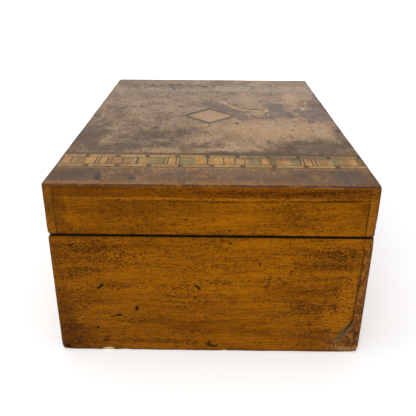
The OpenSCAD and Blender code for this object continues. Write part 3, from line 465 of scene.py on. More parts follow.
END_SCUFFS = [
    (201.5, 40, 38, 5.2, 90, 1.0), (199, 12, 13, 9, 90, 1.0), (192, 4, 14, 5, 0, 0.9),
    (202, 84, 16, 2.6, 90, 0.7), (183, 9, 8, 6, 30, 0.5),
]
END_BARE = [
    (194, 3, 12, 2.6, 4, 0.75), (187, 8, 4, 5, 80, 0.55), (200, 6, 3, 2, 90, 0.5),
    (201.4, 78, 12, 0.8, 90, 0.5),
]


def make_end_age():
    """Marks on the left end of the box: flight holes, scratches, smudges, chips and a crack."""
    t, takes, give = new_group("left_end_age", {}, "Hole", "Streak", "Smudge", "Glow", "Crowd", "Chip",
                               "Crack", "Filler", "Scuff", "Bare")
    x, y, z = t.parts(takes["Place"])
    flat = t.vector(t.minus(SIDE_MM, y), z)
    here = t.rise(x, -END_MM + 26, -END_MM + 6)
    cloud = t.minus(t.noise(flat, (9, 2.4, 5), detail=4.0, roughness=0.65), 0.5)
    fine = t.wobble(flat, 2.2, 0.8)
    ragged = t.wobble(flat, 12, 6)

    def on_left(value):
        return t.times(value, here)

    give("Hole", on_left(t.spots(fine, END_HOLES, 0.25)))
    give("Streak", on_left(t.spots(t.wobble(flat, 4, 1.0), END_STREAKS, 0.5)))
    smudge = t.plus(t.spots(ragged, END_SMUDGES, 0.8), t.times(cloud, 0.9))
    give("Smudge", on_left(t.rise(smudge, 0.08, 1.0)))
    glow = t.plus(t.spots(ragged, END_GLOWS, 0.8), t.times(cloud, 0.9))
    give("Glow", on_left(t.rise(glow, 0.08, 1.0)))
    give("Crowd", on_left(t.spots(ragged, END_CROWDS, 0.7)))
    give("Chip", on_left(t.spots(fine, END_CHIPS, 0.25)))
    give("Crack", on_left(t.spots(t.wobble(flat, 4, 1.1), END_CRACK, 0.5)))
    give("Filler", on_left(t.spots(t.wobble(flat, 5, 3.0), END_FILLER, 0.6)))
    scuff = t.plus(t.spots(ragged, END_SCUFFS, 0.6), t.times(cloud, 0.9))
    give("Scuff", on_left(t.rise(scuff, 0.15, 0.9)))
    bare = t.minus(t.spots(ragged, END_BARE, 0.7), t.noise(flat, (1.4, 1.4, 1.4), detail=2.0))
    give("Bare", on_left(t.rise(bare, -0.1, 0.3)))


# ---- Finishes ----

def new_finish(name):
    """A material and its Tree: (material, tree, shader, place in millimetres)."""
    material = bpy.data.materials.new(name)
    material.use_nodes = True
    t = Tree(material.node_tree)
    shader = material.node_tree.nodes["Principled BSDF"]
    here = t.add("TexCoord").outputs["Object"]
    place = t.add("VectorMath", {0: here, 3: MM_PER_M}, operation="SCALE").outputs[0]
    return material, t, shader, place


def dress(t, shader, colour, roughness, height=None, depth=0.0, specular=0.2):
    """Joins colour, roughness and relief to the shader. depth is the relief's height in mm."""
    t.put(shader.inputs["Base Color"], colour)
    t.put(shader.inputs["Roughness"], roughness)
    shader.inputs["Specular IOR Level"].default_value = specular
    if height is not None:
        bump = t.add("Bump", {"Strength": 1.0, "Distance": depth * MM, "Height": height})
        t.put(shader.inputs["Normal"], bump.outputs[0])


VARNISH_TINT = (1.0, 0.62, 0.12, 1.0)       # old amber varnish colours the shine too


def show_joints(t, colour, across, z, reach, faint, in_lid):
    """Lets the joints of the boards show through a veneer: the lip past each, and a line at it.

    across is the place across the face, reach how far the corners lie from its middle.
    """
    from_corner = t.minus(reach, t.size(across))
    lip = t.band(from_corner, 0.6, 1.6, JOINT_IN - 0.8, JOINT_IN)
    line = t.band(from_corner, JOINT_IN - 0.5, JOINT_IN, JOINT_IN + 0.3, JOINT_IN + 0.9)
    from_top = t.minus(TOP_MM, z)
    top_line = t.band(from_top, TOP_JOINT - 0.6, TOP_JOINT, TOP_JOINT + 0.7, TOP_JOINT + 1.5)
    top_strip = t.rise(from_top, TOP_JOINT + 0.2, TOP_JOINT - 0.8)
    line = t.times(line, t.plus(0.12, t.times(in_lid, 0.4)))
    return t.coats(
        colour,
        (top_strip, 0.55, paint(99, 44, 3)),
        (top_line, t.times(faint, 0.6), paint(160, 100, 20)),
        (t.times(lip, in_lid), t.times(faint, 0.55), paint(160, 100, 26)),
        (line, faint, paint(60, 28, 3)))


def veneer(name, along, seed):
    """Varnished side veneer with its grain along the length ("x") or the width ("y")."""
    material, t, shader, place = new_finish(name)
    x, y, z = t.parts(place)
    run = x if along == "x" else t.minus(SIDE_MM, y)
    depth = y if along == "x" else x
    age = t.group("left_end_age", {"Place": place})
    wood = t.group("straight_grain", {"Place": t.shift(t.vector(run, z, depth), seed, seed, seed),
                                      "Crowd": age["Crowd"], "Bend": 12.0})
    wear = t.group("edge_wear", {"Place": place, "Reach": 2.6})

    shade = t.plus(t.times(wood["Figure"], 0.6), t.times(wood["Streaks"], 0.4))
    colour = t.coats(
        paint(156, 92, 1),
        (shade, 0.38, 0.64, 1.0, paint(112, 60, 0)),
        (age["Glow"], 0.6, paint(178, 107, 4)),
        (wood["Streaks"], 0.5, 0.66, 0.4, paint(92, 47, 3)),
        (wood["Mottle"], 0.5, 0.68, 0.5, paint(88, 42, 3)),
        (wood["Mottle"], 0.46, 0.34, 0.35, paint(166, 98, 1)))

    uneven = t.noise(place, (12, 12, 12), detail=2.0)
    faint = t.rise(uneven, 0.35, 0.6, 0.3, 1.0)
    in_lid = t.math("GREATER_THAN", z, BASE_TOP_MM)
    across, reach = (x, END_MM) if along == "x" else (y, SIDE_MM)
    colour = show_joints(t, colour, across, z, reach, faint, in_lid)

    # Dark ribs across the grain in the back half of the lid
    ribs = t.rise(t.noise(t.vector(t.times(run, 1.1), t.times(z, 0.07)), detail=1.0), 0.45, 0.7)
    ribs = t.times(t.times(ribs, in_lid), t.rise(run, 95, 50, 0.0, 0.25))
    colour = t.mix(ribs, colour, paint(88, 42, 3))

    colour = t.coats(colour, (age["Smudge"], 0.6, paint(76, 40, 6)))
    fine = t.noise(place, (2.2, 2.2, 3.0), detail=3.0, roughness=0.6)
    scuffed = t.mix(t.rise(fine, 0.36, 0.64), paint(152, 98, 44), paint(78, 40, 20))
    colour = t.coats(
        colour,
        (age["Scuff"], 0.85, scuffed),
        (wood["Flecks"], 0.94, paint(54, 19, 3)),
        (age["Bare"], 0.5, paint(170, 138, 92)),
        (wear["Grime"], 0.45, paint(62, 34, 10)),
        (wear["Rub"], 0.6, paint(98, 58, 22)),
        (age["Streak"], 0.75, paint(46, 18, 3)),
        (age["Filler"], paint(88, 74, 52)),
        (age["Crack"], paint(26, 12, 5)),
        (age["Chip"], paint(205, 178, 132)),
        (age["Hole"], 0.94, paint(20, 8, 3)),
        # Painted shade: the veneer's rim in the gap between lid and base, painted near-black as if in
        # shadow
        (wear["Seam"], 0.97, paint(8, 5, 3)))

    dull = t.plus(t.times(wear["Rub"], 0.2), t.times(age["Smudge"], 0.1))
    roughness = t.plus(t.rise(wood["Streaks"], 0.3, 0.7, 0.4, 0.5), dull)
    relief = t.minus(t.plus(t.times(uneven, 0.6), t.times(wood["Streaks"], 0.3)),
                     t.times(wood["Flecks"], 0.3))
    relief = t.minus(relief, age["Hole"])
    dress(t, shader, colour, roughness, relief, 0.3, 0.16)
    shader.inputs["Specular Tint"].default_value = VARNISH_TINT
    return material


def lid_wood(name, light, dark, seed, flecks, cloudy, straight, fade):
    """A faded wood of the lid's top. straight is whether it has straight grain across the box."""
    material, t, shader, place = new_finish(name)
    x, y, z = t.parts(place)
    age = t.group("lid_age", {"Place": place})
    from_left = t.plus(x, END_MM)
    near_end = t.rise(from_left, 74, 16)
    crowd = t.minus(t.most(age["Smoke"], near_end), t.times(age["Pale"], 0.5))
    burr = t.group("burr_figure", {"Place": t.shift(place, seed, seed), "Crowd": crowd})
    wear = t.group("edge_wear", {"Place": place, "Reach": 2.3})
    from_back = t.minus(SIDE_MM, y)
    shade = t.plus(t.times(burr["Cloud"], 0.5), t.times(burr["Curl"], 0.5))
    colour = t.coats(light, (shade, 0.38, 0.64, cloudy, dark))
    if straight:
        grain = t.group("straight_grain", {"Place": t.shift(t.vector(y, x, z), seed, seed),
                                           "Crowd": 0.0, "Bend": 1.0})
        colour = t.coats(colour, (grain["Streaks"], 0.4, 0.65, 0.5, dark),
                         (grain["Flecks"], 0.3, paint(88, 62, 42)))

    # Bleached by the sun in patches; greyer towards the far end, a painted reflection of the white
    # surroundings seen at a grazing angle; browner at the near one
    colour = t.coats(
        colour,
        (age["Pale"], 0.6, paint(190, 154, 114)),
        (from_left, 60, 250, fade, paint(166, 149, 135)),
        (near_end, 0.2 if straight else 0.66, paint(140, 89, 10)),
        (from_back, 120, 0, 0.22, paint(112, 94, 82)),
        (burr["Grain"], 0.5, 0.66, flecks, paint(92, 71, 52)),
        (burr["Grain"], 0.47, 0.36, 0.35, paint(192, 156, 114)),
        (age["Smoke"], 0.78, paint(82, 66, 49)),
        (burr["Fleck"], flecks, paint(82, 62, 48)),
        (burr["Eyes"], 0.4, paint(84, 62, 46)))
    bruise = t.mix(t.rise(burr["Curl"], 0.4, 0.6), paint(88, 75, 74), paint(112, 98, 95))
    colour = t.coats(
        colour,
        (age["Stain"], 0.78, bruise),
        (age["Scratch"], 0.8, paint(204, 174, 130)),
        (age["Speck"], 0.75, paint(58, 50, 46)),
        (age["Scar"], 0.8, paint(72, 50, 40)))

    # The amber varnish that remains by the left end
    varnish = t.noise(place, (6, 2.6, 3), detail=4.0, roughness=0.7)
    remains = t.minus(from_left, t.times(t.minus(varnish, 0.46), 26))
    remains = t.times(t.rise(remains, 7.0, 1.0), 0.55)
    amber = t.mix(t.rise(from_back, 125, 170), paint(150, 98, 20), paint(98, 54, 20))
    colour = t.mix(remains, colour, amber)
    colour = t.coats(colour, (wear["Rub"], 0.88, paint(60, 29, 13)))
    roughness = t.minus(t.rise(burr["Cloud"], 0.3, 0.7, 0.5, 0.66), t.times(remains, 0.15))
    relief = t.plus(t.times(burr["Curl"], 0.45), t.times(burr["Cloud"], 0.5))
    relief = t.minus(relief, t.times(burr["Fleck"], 0.15))
    dress(t, shader, colour, roughness, relief, 0.3, 0.16)
    return material


def bare_wood(name, light, dark, along, seed, crowd):
    """Unvarnished wood of the boards and the drawer. along is how its grain runs on upright
    faces ("x" or "y") or on flat ones ("x_flat")."""
    material, t, shader, place = new_finish(name)
    x, y, z = t.parts(place)
    order = {"x": (x, z, y), "y": (y, z, x), "x_flat": (x, y, z)}[along]
    wood = t.group("straight_grain", {"Place": t.shift(t.vector(*order), seed, seed, seed),
                                      "Crowd": crowd, "Bend": 7.0})
    wear = t.group("edge_wear", {"Place": place, "Reach": 3.0})
    colour = t.coats(
        light,
        (wood["Figure"], 0.3, 0.7, 1.0, dark),
        (wood["Streaks"], 0.4, 0.62, 0.8, dark),
        (wood["Flecks"], 0.5, paint(84, 52, 28)))
    dirt = t.noise(place, (30, 30, 30), detail=5.0, roughness=0.65)
    colour = t.coats(
        colour,
        (dirt, 0.5, 0.75, 0.45, paint(70, 48, 30)),
        (wear["Rub"], 0.5, paint(84, 56, 30)),
        # Painted shade: the board's rim in the gap between lid and base, painted dark brown as if in
        # shadow
        (wear["Seam"], 0.95, paint(20, 13, 8)))
    relief = t.minus(t.times(wood["Streaks"], 0.6), t.times(wood["Flecks"], 0.4))
    dress(t, shader, colour, t.rise(dirt, 0.3, 0.7, 0.6, 0.78), relief, 0.2, 0.25)
    return material


def lining(name):
    """Old blue-grey lining paper: faded, foxed, rubbed by what was kept in the box."""
    material, t, shader, place = new_finish(name)
    fade = t.noise(place, (90, 90, 90), detail=3.0, roughness=0.5)
    fibre = t.noise(place, (0.9, 0.9, 0.9), detail=4.0, roughness=0.7)
    rubs = t.noise(place, (34, 3, 3), detail=4.0, roughness=0.6)
    height = t.parts(place)[2]
    colour = t.coats(
        paint(86, 98, 112),
        (fade, 0.35, 0.65, 1.0, paint(104, 109, 114)),
        (fibre, 0.42, 0.7, 0.35, paint(70, 80, 94)),
        (rubs, 0.55, 0.75, 0.16, paint(134, 134, 128)))
    foxing = t.noise(place, (4, 4, 4), detail=2.0, roughness=0.5)
    from_floor = t.minus(height, FLOOR_TOP_MM)
    colour = t.coats(colour, (foxing, 0.66, 0.74, 0.55, paint(118, 92, 64)),
                     (from_floor, 6.0, 0.2, 0.5, paint(62, 58, 54)))
    relief = t.plus(t.times(fibre, 0.6), t.times(rubs, 0.4))
    dress(t, shader, colour, 0.85, relief, 0.1, 0.2)
    return material


def metal(name, bright, dull, tarnish, roughness):
    """Old metal with brushed scratches and tarnish that gathers in patches."""
    material, t, shader, place = new_finish(name)
    brushed = t.noise(place, (9, 0.25, 0.25), detail=3.0, roughness=0.6)
    patches = t.noise(place, (5, 5, 5), detail=5.0, roughness=0.7)
    specks = t.noise(place, (0.8, 0.8, 0.8), detail=3.0, roughness=0.6)
    colour = t.coats(bright, (brushed, 0.3, 0.7, 0.5, dull))
    age = t.plus(t.rise(patches, 0.4, 0.68, 0.0, 0.75), t.rise(specks, 0.6, 0.72, 0.0, 0.4))
    colour = t.mix(t.math("MINIMUM", age, 0.9), colour, tarnish)
    rough = t.plus(t.times(age, 0.25), roughness)
    t.put(shader.inputs["Metallic"], t.minus(1.0, t.times(age, 0.35)))
    dress(t, shader, colour, rough, t.plus(t.times(brushed, 0.3), t.times(patches, 0.4)), 0.05, 0.5)
    return material


make_grain()
make_burr()
make_edge_wear()
make_lid_age()
make_end_age()

# Woods of the lid's top: light and dark colour, seed, flecks, cloudy, straight, fade (how strongly a
# painted reflection greys the far end)
TOP_WOODS = {
    "burr_walnut": ((170, 138, 104), (118, 92, 70), 0.0, 0.7, 0.95, False, 0.35),
    "faded_burr": ((176, 140, 102), (148, 114, 82), 60.0, 0.15, 0.5, False, 0.35),
    "boxwood": ((203, 163, 95), (161, 124, 67), 110.0, 0.4, 0.6, True, 0.8),
    "satinwood": ((214, 159, 87), (178, 128, 65), 160.0, 0.35, 0.6, True, 0.8),
    "ebony": ((74, 60, 40), (54, 43, 29), 210.0, 0.3, 0.6, True, 0.75),
    "diamond_line": ((80, 70, 60), (64, 55, 47), 230.0, 0.2, 0.6, False, 0.2),
    "green_holly": ((148, 134, 84), (120, 107, 64), 260.0, 0.3, 0.6, True, 0.8),
    "walnut_inlay": ((132, 100, 62), (94, 68, 42), 310.0, 0.35, 0.7, True, 0.7),
    "pearwood": ((178, 135, 80), (140, 104, 57), 360.0, 0.3, 0.6, True, 0.8),
}
# Plain woods: light and dark colour, how the grain runs, seed, crowding of the flecks
PLAIN_WOODS = {
    "long_board": ((168, 124, 78), (128, 88, 50), "x", 15.0, 0.0),
    "end_board": ((166, 122, 76), (126, 86, 50), "y", 75.0, 0.0),
    "flat_board": ((160, 118, 74), (118, 82, 48), "x_flat", 125.0, 0.0),
    "drawer_oak": ((158, 120, 76), (116, 82, 48), "x_flat", 185.0, 0.8),
}
# Metals: bright, dull and tarnished colour, roughness
METALS = {
    "brass": ((206, 170, 98), (170, 132, 66), (88, 66, 36), 0.3),
    "brass_screw": ((214, 180, 108), (176, 140, 74), (84, 62, 34), 0.28),
    "steel": ((150, 148, 144), (112, 110, 106), (86, 66, 52), 0.36),
    "iron": ((92, 82, 76), (66, 58, 54), (84, 52, 34), 0.6),
}

FINISH = {"side_veneer": veneer("side_veneer", "x", 40.0), "end_veneer": veneer("end_veneer", "y", 0.0)}
for name, (light, dark, *rest) in TOP_WOODS.items():
    FINISH[name] = lid_wood(name, paint(*light), paint(*dark), *rest)
for name, (light, dark, *rest) in PLAIN_WOODS.items():
    FINISH[name] = bare_wood(name, paint(*light), paint(*dark), *rest)
FINISH["lining_paper"] = lining("lining_paper")
for name, (bright, dull, tarnish, roughness) in METALS.items():
    FINISH[name] = metal(name, paint(*bright), paint(*dull), paint(*tarnish), roughness)


# ---- Shapes ----

# Radius of the worn edges in mm, by the two faces that meet there
EDGE_WEAR = {
    "lid": {"upright": 1.5, "top": 0.9, "bottom": 0.4},
    "base": {"upright": 1.5, "top": 0.4, "bottom": 1.0},
}
# Chips out of the edges: (x, y, z, reach, depth) in mm from the frame's origin
CHIPS = [
    (-151, 101.5, 0, 7, 3.2), (-151, 101.5, 12, 4, 0.9), (-151, 70, 0, 5, 0.8), (-151, 58, 0, 4, 1.2),
    (-151, -101.5, 0, 8, 3.6), (-151, -101.5, 123, 5, 1.0), (-151, 101.5, 123, 4, 0.8),
    (-151, -6, 123, 30, 0.5), (-151, -60, 123, 24, 0.6), (-151, -4, 89.4, 8, 0.7),
    (-151, -101.5, 89, 14, 1.0), (-151, 101.5, 88.6, 5, 0.6), (151, -101.5, 0, 6, 2.0),
    (151, 101.5, 123, 6, 1.2), (151, -40, 123, 12, 0.7), (40, -101.5, 0, 9, 1.0), (-60, 101.5, 0, 8, 1.1),
]
WEAR_WAVE = 16.0        # mm between a worn place and the next
WEAR_SWING = 0.55       # how far the radius of a worn edge swings about its plain one
LEAST_WEAR = 0.35       # share of the plain radius that is always there
CHIP_DEPTH = 1.2        # share of a chip's depth that it has before its grain is added
CHIP_GRAIN = 1.7        # mm between the bumps of a chip's surface
WEAR_REACH = 6.0        # mm from an edge within which points may move
CUT_DISTANCES = (0.0, 0.3, 0.8, 1.4, 2.2, 3.4)      # mm from an edge
CUT_PITCH = 5.0         # mm between the cuts that let an edge follow its wear
NEARLY = 1e-6           # m, within which two places are the same
PLANE_NEARLY = 1e-7     # m, within which a point lies on a cutting plane
FLAT_ANGLE = math.radians(0.5)
SHARP_ANGLE = math.radians(30)


def worn_radius(place, plain):
    """Radius of an edge at a place in mm, from its plain one."""
    wave = noise.fractal(Vector(place) / WEAR_WAVE, 1.0, 2.0, 3)
    radius = plain * max(LEAST_WEAR, 1 + WEAR_SWING * wave)
    for x, y, z, reach, depth in CHIPS:
        away = (Vector((x, y, z)) - place).length / reach
        if away < 1:
            radius += depth * (1 - away) ** 2 * (CHIP_DEPTH + noise.noise(place / CHIP_GRAIN))
    return radius


def heights(body):
    """Lowest and highest point of the lid or the base."""
    return (LID_BOTTOM, BOX_H) if body == "lid" else (0.0, BASE_TOP)


# The edges of a body by the sides that meet there: 0 an end, 1 front or back, 2 top, 3 bottom
BODY_EDGES = ((0, 1, "upright"), (0, 2, "top"), (1, 2, "top"), (0, 3, "bottom"), (1, 3, "bottom"))


def round_edges(bm, body):
    """Moves a piece's points inside the worn outline of its body."""
    low, high = heights(body)
    wear = EDGE_WEAR[body]
    for vertex in bm.verts:
        for first, second, edge in BODY_EDGES:
            point = vertex.co * MM_PER_M
            inside = [END_MM - abs(point.x), SIDE_MM - abs(point.y),
                      in_mm(high) - point.z, point.z - in_mm(low)]
            if max(inside[first], inside[second]) > WEAR_REACH:
                continue
            radius = worn_radius(point, wear[edge])
            out = Vector((radius - inside[first], radius - inside[second]))
            if min(out) <= 0 or out.length <= radius:
                continue
            back = out * (1 - radius / out.length)
            for axis, push in ((first, back[0]), (second, back[1])):
                side = {0: -math.copysign(1, point.x), 1: -math.copysign(1, point.y), 2: -1, 3: 1}[axis]
                vertex.co[min(axis, 2)] += side * push * MM


def cut_at(bm, axis, value):
    """Cuts a mesh where it crosses a plane, without parting it."""
    normal = Vector([1.0 if i == axis else 0.0 for i in range(3)])
    bmesh.ops.bisect_plane(bm, geom=bm.verts[:] + bm.edges[:] + bm.faces[:], dist=PLANE_NEARLY,
                           plane_co=normal * value, plane_no=normal)


def cut_for_wear(bm, body):
    """Adds points near the worn edges of a piece and along them."""
    ends = ((-HALF_L, HALF_L), (-HALF_W, HALF_W), heights(body))
    for axis, (start, end) in enumerate(ends):
        lowest = min(v.co[axis] for v in bm.verts)
        highest = max(v.co[axis] for v in bm.verts)
        places = [start + d * MM for d in CUT_DISTANCES] + [end - d * MM for d in CUT_DISTANCES]
        count = int((end - start) / (CUT_PITCH * MM))
        places += [start + (i + 1) * CUT_PITCH * MM for i in range(count)]
        for value in places:
            if lowest + NEARLY < value < highest - NEARLY:
                cut_at(bm, axis, value)


def merged_copy(node):
    """A CAD node's mesh with its doubles merged and its flat faces joined."""
    bm = bmesh.new()
    bm.from_mesh(frame["nodes"][node].data)
    bmesh.ops.remove_doubles(bm, verts=bm.verts, dist=NEARLY)
    bmesh.ops.dissolve_limit(bm, angle_limit=FLAT_ANGLE, verts=bm.verts, edges=bm.edges)
    return bm


def islands(bm):
    """The separate solids of a mesh, as lists of their points."""
    seen = set()
    for start in bm.verts:
        if start in seen:
            continue
        island, waiting = [], [start]
        while waiting:
            vertex = waiting.pop()
            if vertex not in seen:
                seen.add(vertex)
                island.append(vertex)
                waiting += [edge.other_vert(vertex) for edge in vertex.link_edges]
        yield island


TILE_DROP = 0.07        # mm, the most that a worn tile lies below its neighbours
TILE_SPREAD = 1.6       # lets the drops, set by noise, reach that most
TILE_CHANCE = 370       # spreads the tiles' places over the noise
AT_TOP = 1e-5           # m, how near to the top of the box a tile's upper points lie


def settle_tiles(bm):
    """Lowers the top of each hand-laid tile by its own small amount."""
    for island in islands(bm):
        middle = sum((v.co for v in island), Vector()) / len(island)
        drop = TILE_DROP * abs(noise.noise(middle * TILE_CHANCE)) * TILE_SPREAD
        for vertex in island:
            if vertex.co.z > BOX_H - AT_TOP:
                vertex.co.z -= min(drop, TILE_DROP) * MM


BODY_OF = {node: body for body, nodes in frame["record"]["behaviour"]["bodies"].items() for node in nodes}


def finish_piece(bm, node, name, finish, smooth_angle=40):
    """Makes the mesh a piece that stands for a CAD node and rides on its body."""
    mesh = bpy.data.meshes.new(name)
    bm.to_mesh(mesh)
    bm.free()
    mesh.materials.append(FINISH[finish])
    mesh.polygons.foreach_set("use_smooth", [True] * len(mesh.polygons))
    mesh.set_sharp_from_angle(angle=math.radians(smooth_angle))
    piece = bpy.data.objects.new(name, mesh)
    bpy.context.scene.collection.objects.link(piece)
    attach(piece, BODY_OF[node])
    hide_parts(node)


def worn_piece(node, name, finish):
    """A veneer or board that lies at the worn outside of the box."""
    bm = merged_copy(node)
    body = "lid" if BODY_OF[node] == "lid" else "base"
    if node.startswith(("band_", "diamond_")):
        settle_tiles(bm)
    cut_for_wear(bm, body)
    round_edges(bm, body)
    finish_piece(bm, node, name, finish)


def soft_piece(node, name, finish, width):
    """A piece with every sharp edge eased by width mm."""
    bm = merged_copy(node)
    edges = [e for e in bm.edges if len(e.link_faces) == 2 and e.calc_face_angle() > SHARP_ANGLE]
    bmesh.ops.bevel(bm, geom=edges, offset=width * MM, segments=2, profile=0.5, affect="EDGES",
                    clamp_overlap=True)
    finish_piece(bm, node, name, finish)


# Pieces at the worn outside: (CAD node, new piece, finish)
WORN = [
    ("base_front_veneer", "front_veneer", "side_veneer"),
    ("base_back_veneer", "back_veneer", "side_veneer"),
    ("base_left_veneer", "left_end_veneer", "end_veneer"),
    ("base_right_veneer", "right_end_veneer", "end_veneer"),
    ("lid_front_veneer", "lid_front_skin", "side_veneer"),
    ("lid_back_veneer", "lid_back_skin", "side_veneer"),
    ("lid_left_veneer", "lid_left_skin", "end_veneer"),
    ("lid_right_veneer", "lid_right_skin", "end_veneer"),
    ("top_field_veneer", "burr_field", "burr_walnut"), ("top_end_veneers", "burr_ends", "burr_walnut"),
    ("band_boxwood", "boxwood_inlay", "boxwood"), ("band_satinwood", "satinwood_inlay", "satinwood"),
    ("band_ebony", "ebony_lines", "ebony"), ("band_green_holly", "green_holly_inlay", "green_holly"),
    ("band_walnut", "walnut_fillets", "walnut_inlay"), ("band_pearwood", "pearwood_inlay", "pearwood"),
    ("diamond_border", "diamond_frame", "diamond_line"), ("diamond_panel", "diamond_centre", "faded_burr"),
    ("front_slip", "sliding_slip", "side_veneer"), ("drawer_front_veneer", "drawer_face", "end_veneer"),
    ("base_front_board", "front_board", "long_board"), ("base_back_board", "back_board", "long_board"),
    ("base_left_board", "left_board", "end_board"), ("base_right_board", "right_board", "end_board"),
    ("lid_front_board", "lid_front_rail", "long_board"), ("lid_back_board", "lid_back_rail", "long_board"),
    ("lid_left_board", "lid_left_rail", "end_board"), ("lid_right_board", "lid_right_rail", "end_board"),
    ("lid_top_board", "lid_panel", "flat_board"), ("bottom_board", "bottom_panel", "flat_board"),
]
# Pieces inside: (CAD node, new piece, finish, width of the eased edges in mm)
SOFTENED = [
    ("false_floor", "hidden_floor", "flat_board", 0.2),
    ("drawer_front", "drawer_front_board", "end_board", 0.3),
    ("drawer_sides", "drawer_side_boards", "drawer_oak", 0.4),
    ("drawer_back", "drawer_back_board", "drawer_oak", 0.4),
    ("drawer_bottom", "drawer_bottom_board", "drawer_oak", 0.2),
    ("key_tray", "key_block", "drawer_oak", 0.4),
    ("lock_case", "lock_box", "brass", 0.15), ("lock_cap", "lock_lid_plate", "brass", 0.1),
    ("lock_top_plate", "lock_edge_plate", "brass", 0.15), ("link_plate", "staple_plate", "brass", 0.15),
    ("lock_bolt", "bolt", "brass", 0.1), ("lock_spring", "spring", "steel", 0.1),
    ("keyhole_escutcheon", "keyhole_thread", "brass", 0.05), ("slip_stop_pin", "stop_pin", "brass", 0.1),
    ("left_hinge_base_leaf", "left_lower_leaf", "brass", 0.12),
    ("right_hinge_base_leaf", "right_lower_leaf", "brass", 0.12),
    ("left_hinge_lid_leaf", "left_upper_leaf", "brass", 0.12),
    ("right_hinge_lid_leaf", "right_upper_leaf", "brass", 0.12),
    ("left_hinge_pin", "left_pin", "steel", 0.1), ("right_hinge_pin", "right_pin", "steel", 0.1),
    ("key", "old_key", "steel", 0.25),
]
# CAD nodes that are shown as they are, in paper
LININGS = ("base_wall_lining", "floor_lining", "lid_wall_lining", "lid_top_lining")
# CAD nodes of screws and brads: (new piece, finish, head face up or down, slotted)
FASTENERS = {
    "lock_screws": ("lock_wood_screws", "brass_screw", 1, True),
    "base_hinge_screws": ("lower_hinge_screws", "brass_screw", 1, True),
    "lid_hinge_screws": ("upper_hinge_screws", "brass_screw", -1, True),
    "link_plate_screws": ("staple_plate_screws", "brass_screw", -1, True),
    "bottom_brads": ("iron_brads", "iron", -1, False),
}

for node, name, finish in WORN:
    worn_piece(node, name, finish)
for node, name, finish, width in SOFTENED:
    soft_piece(node, name, finish, width)
for node in LININGS:
    shown = frame["nodes"][node]
    shown.data.materials.clear()
    shown.data.materials.append(FINISH["lining_paper"])


# ---- Screws and brads, set at the places of the frame's own ----

FASTENER_SIZES = ("Head Radius", "Head Height", "Shank Radius", "Length", "Slot Width", "Slot Depth")
# Shares of the head's radius: heights of the heads, radius of the shank, width and depth of the slot
SCREW_HEAD, BRAD_HEAD, SHANK, SLOT = 0.55, 0.43, 0.5, 0.28
HEAD_SIDES, SHANK_SIDES = 32, 24
POINT_LENGTH = 2.0      # in shank radii
POINT_WIDTH = 0.15      # share of the shank's radius that its tip keeps
FASTENER_ANGLE = 30     # degrees, past which an edge of a screw stays sharp


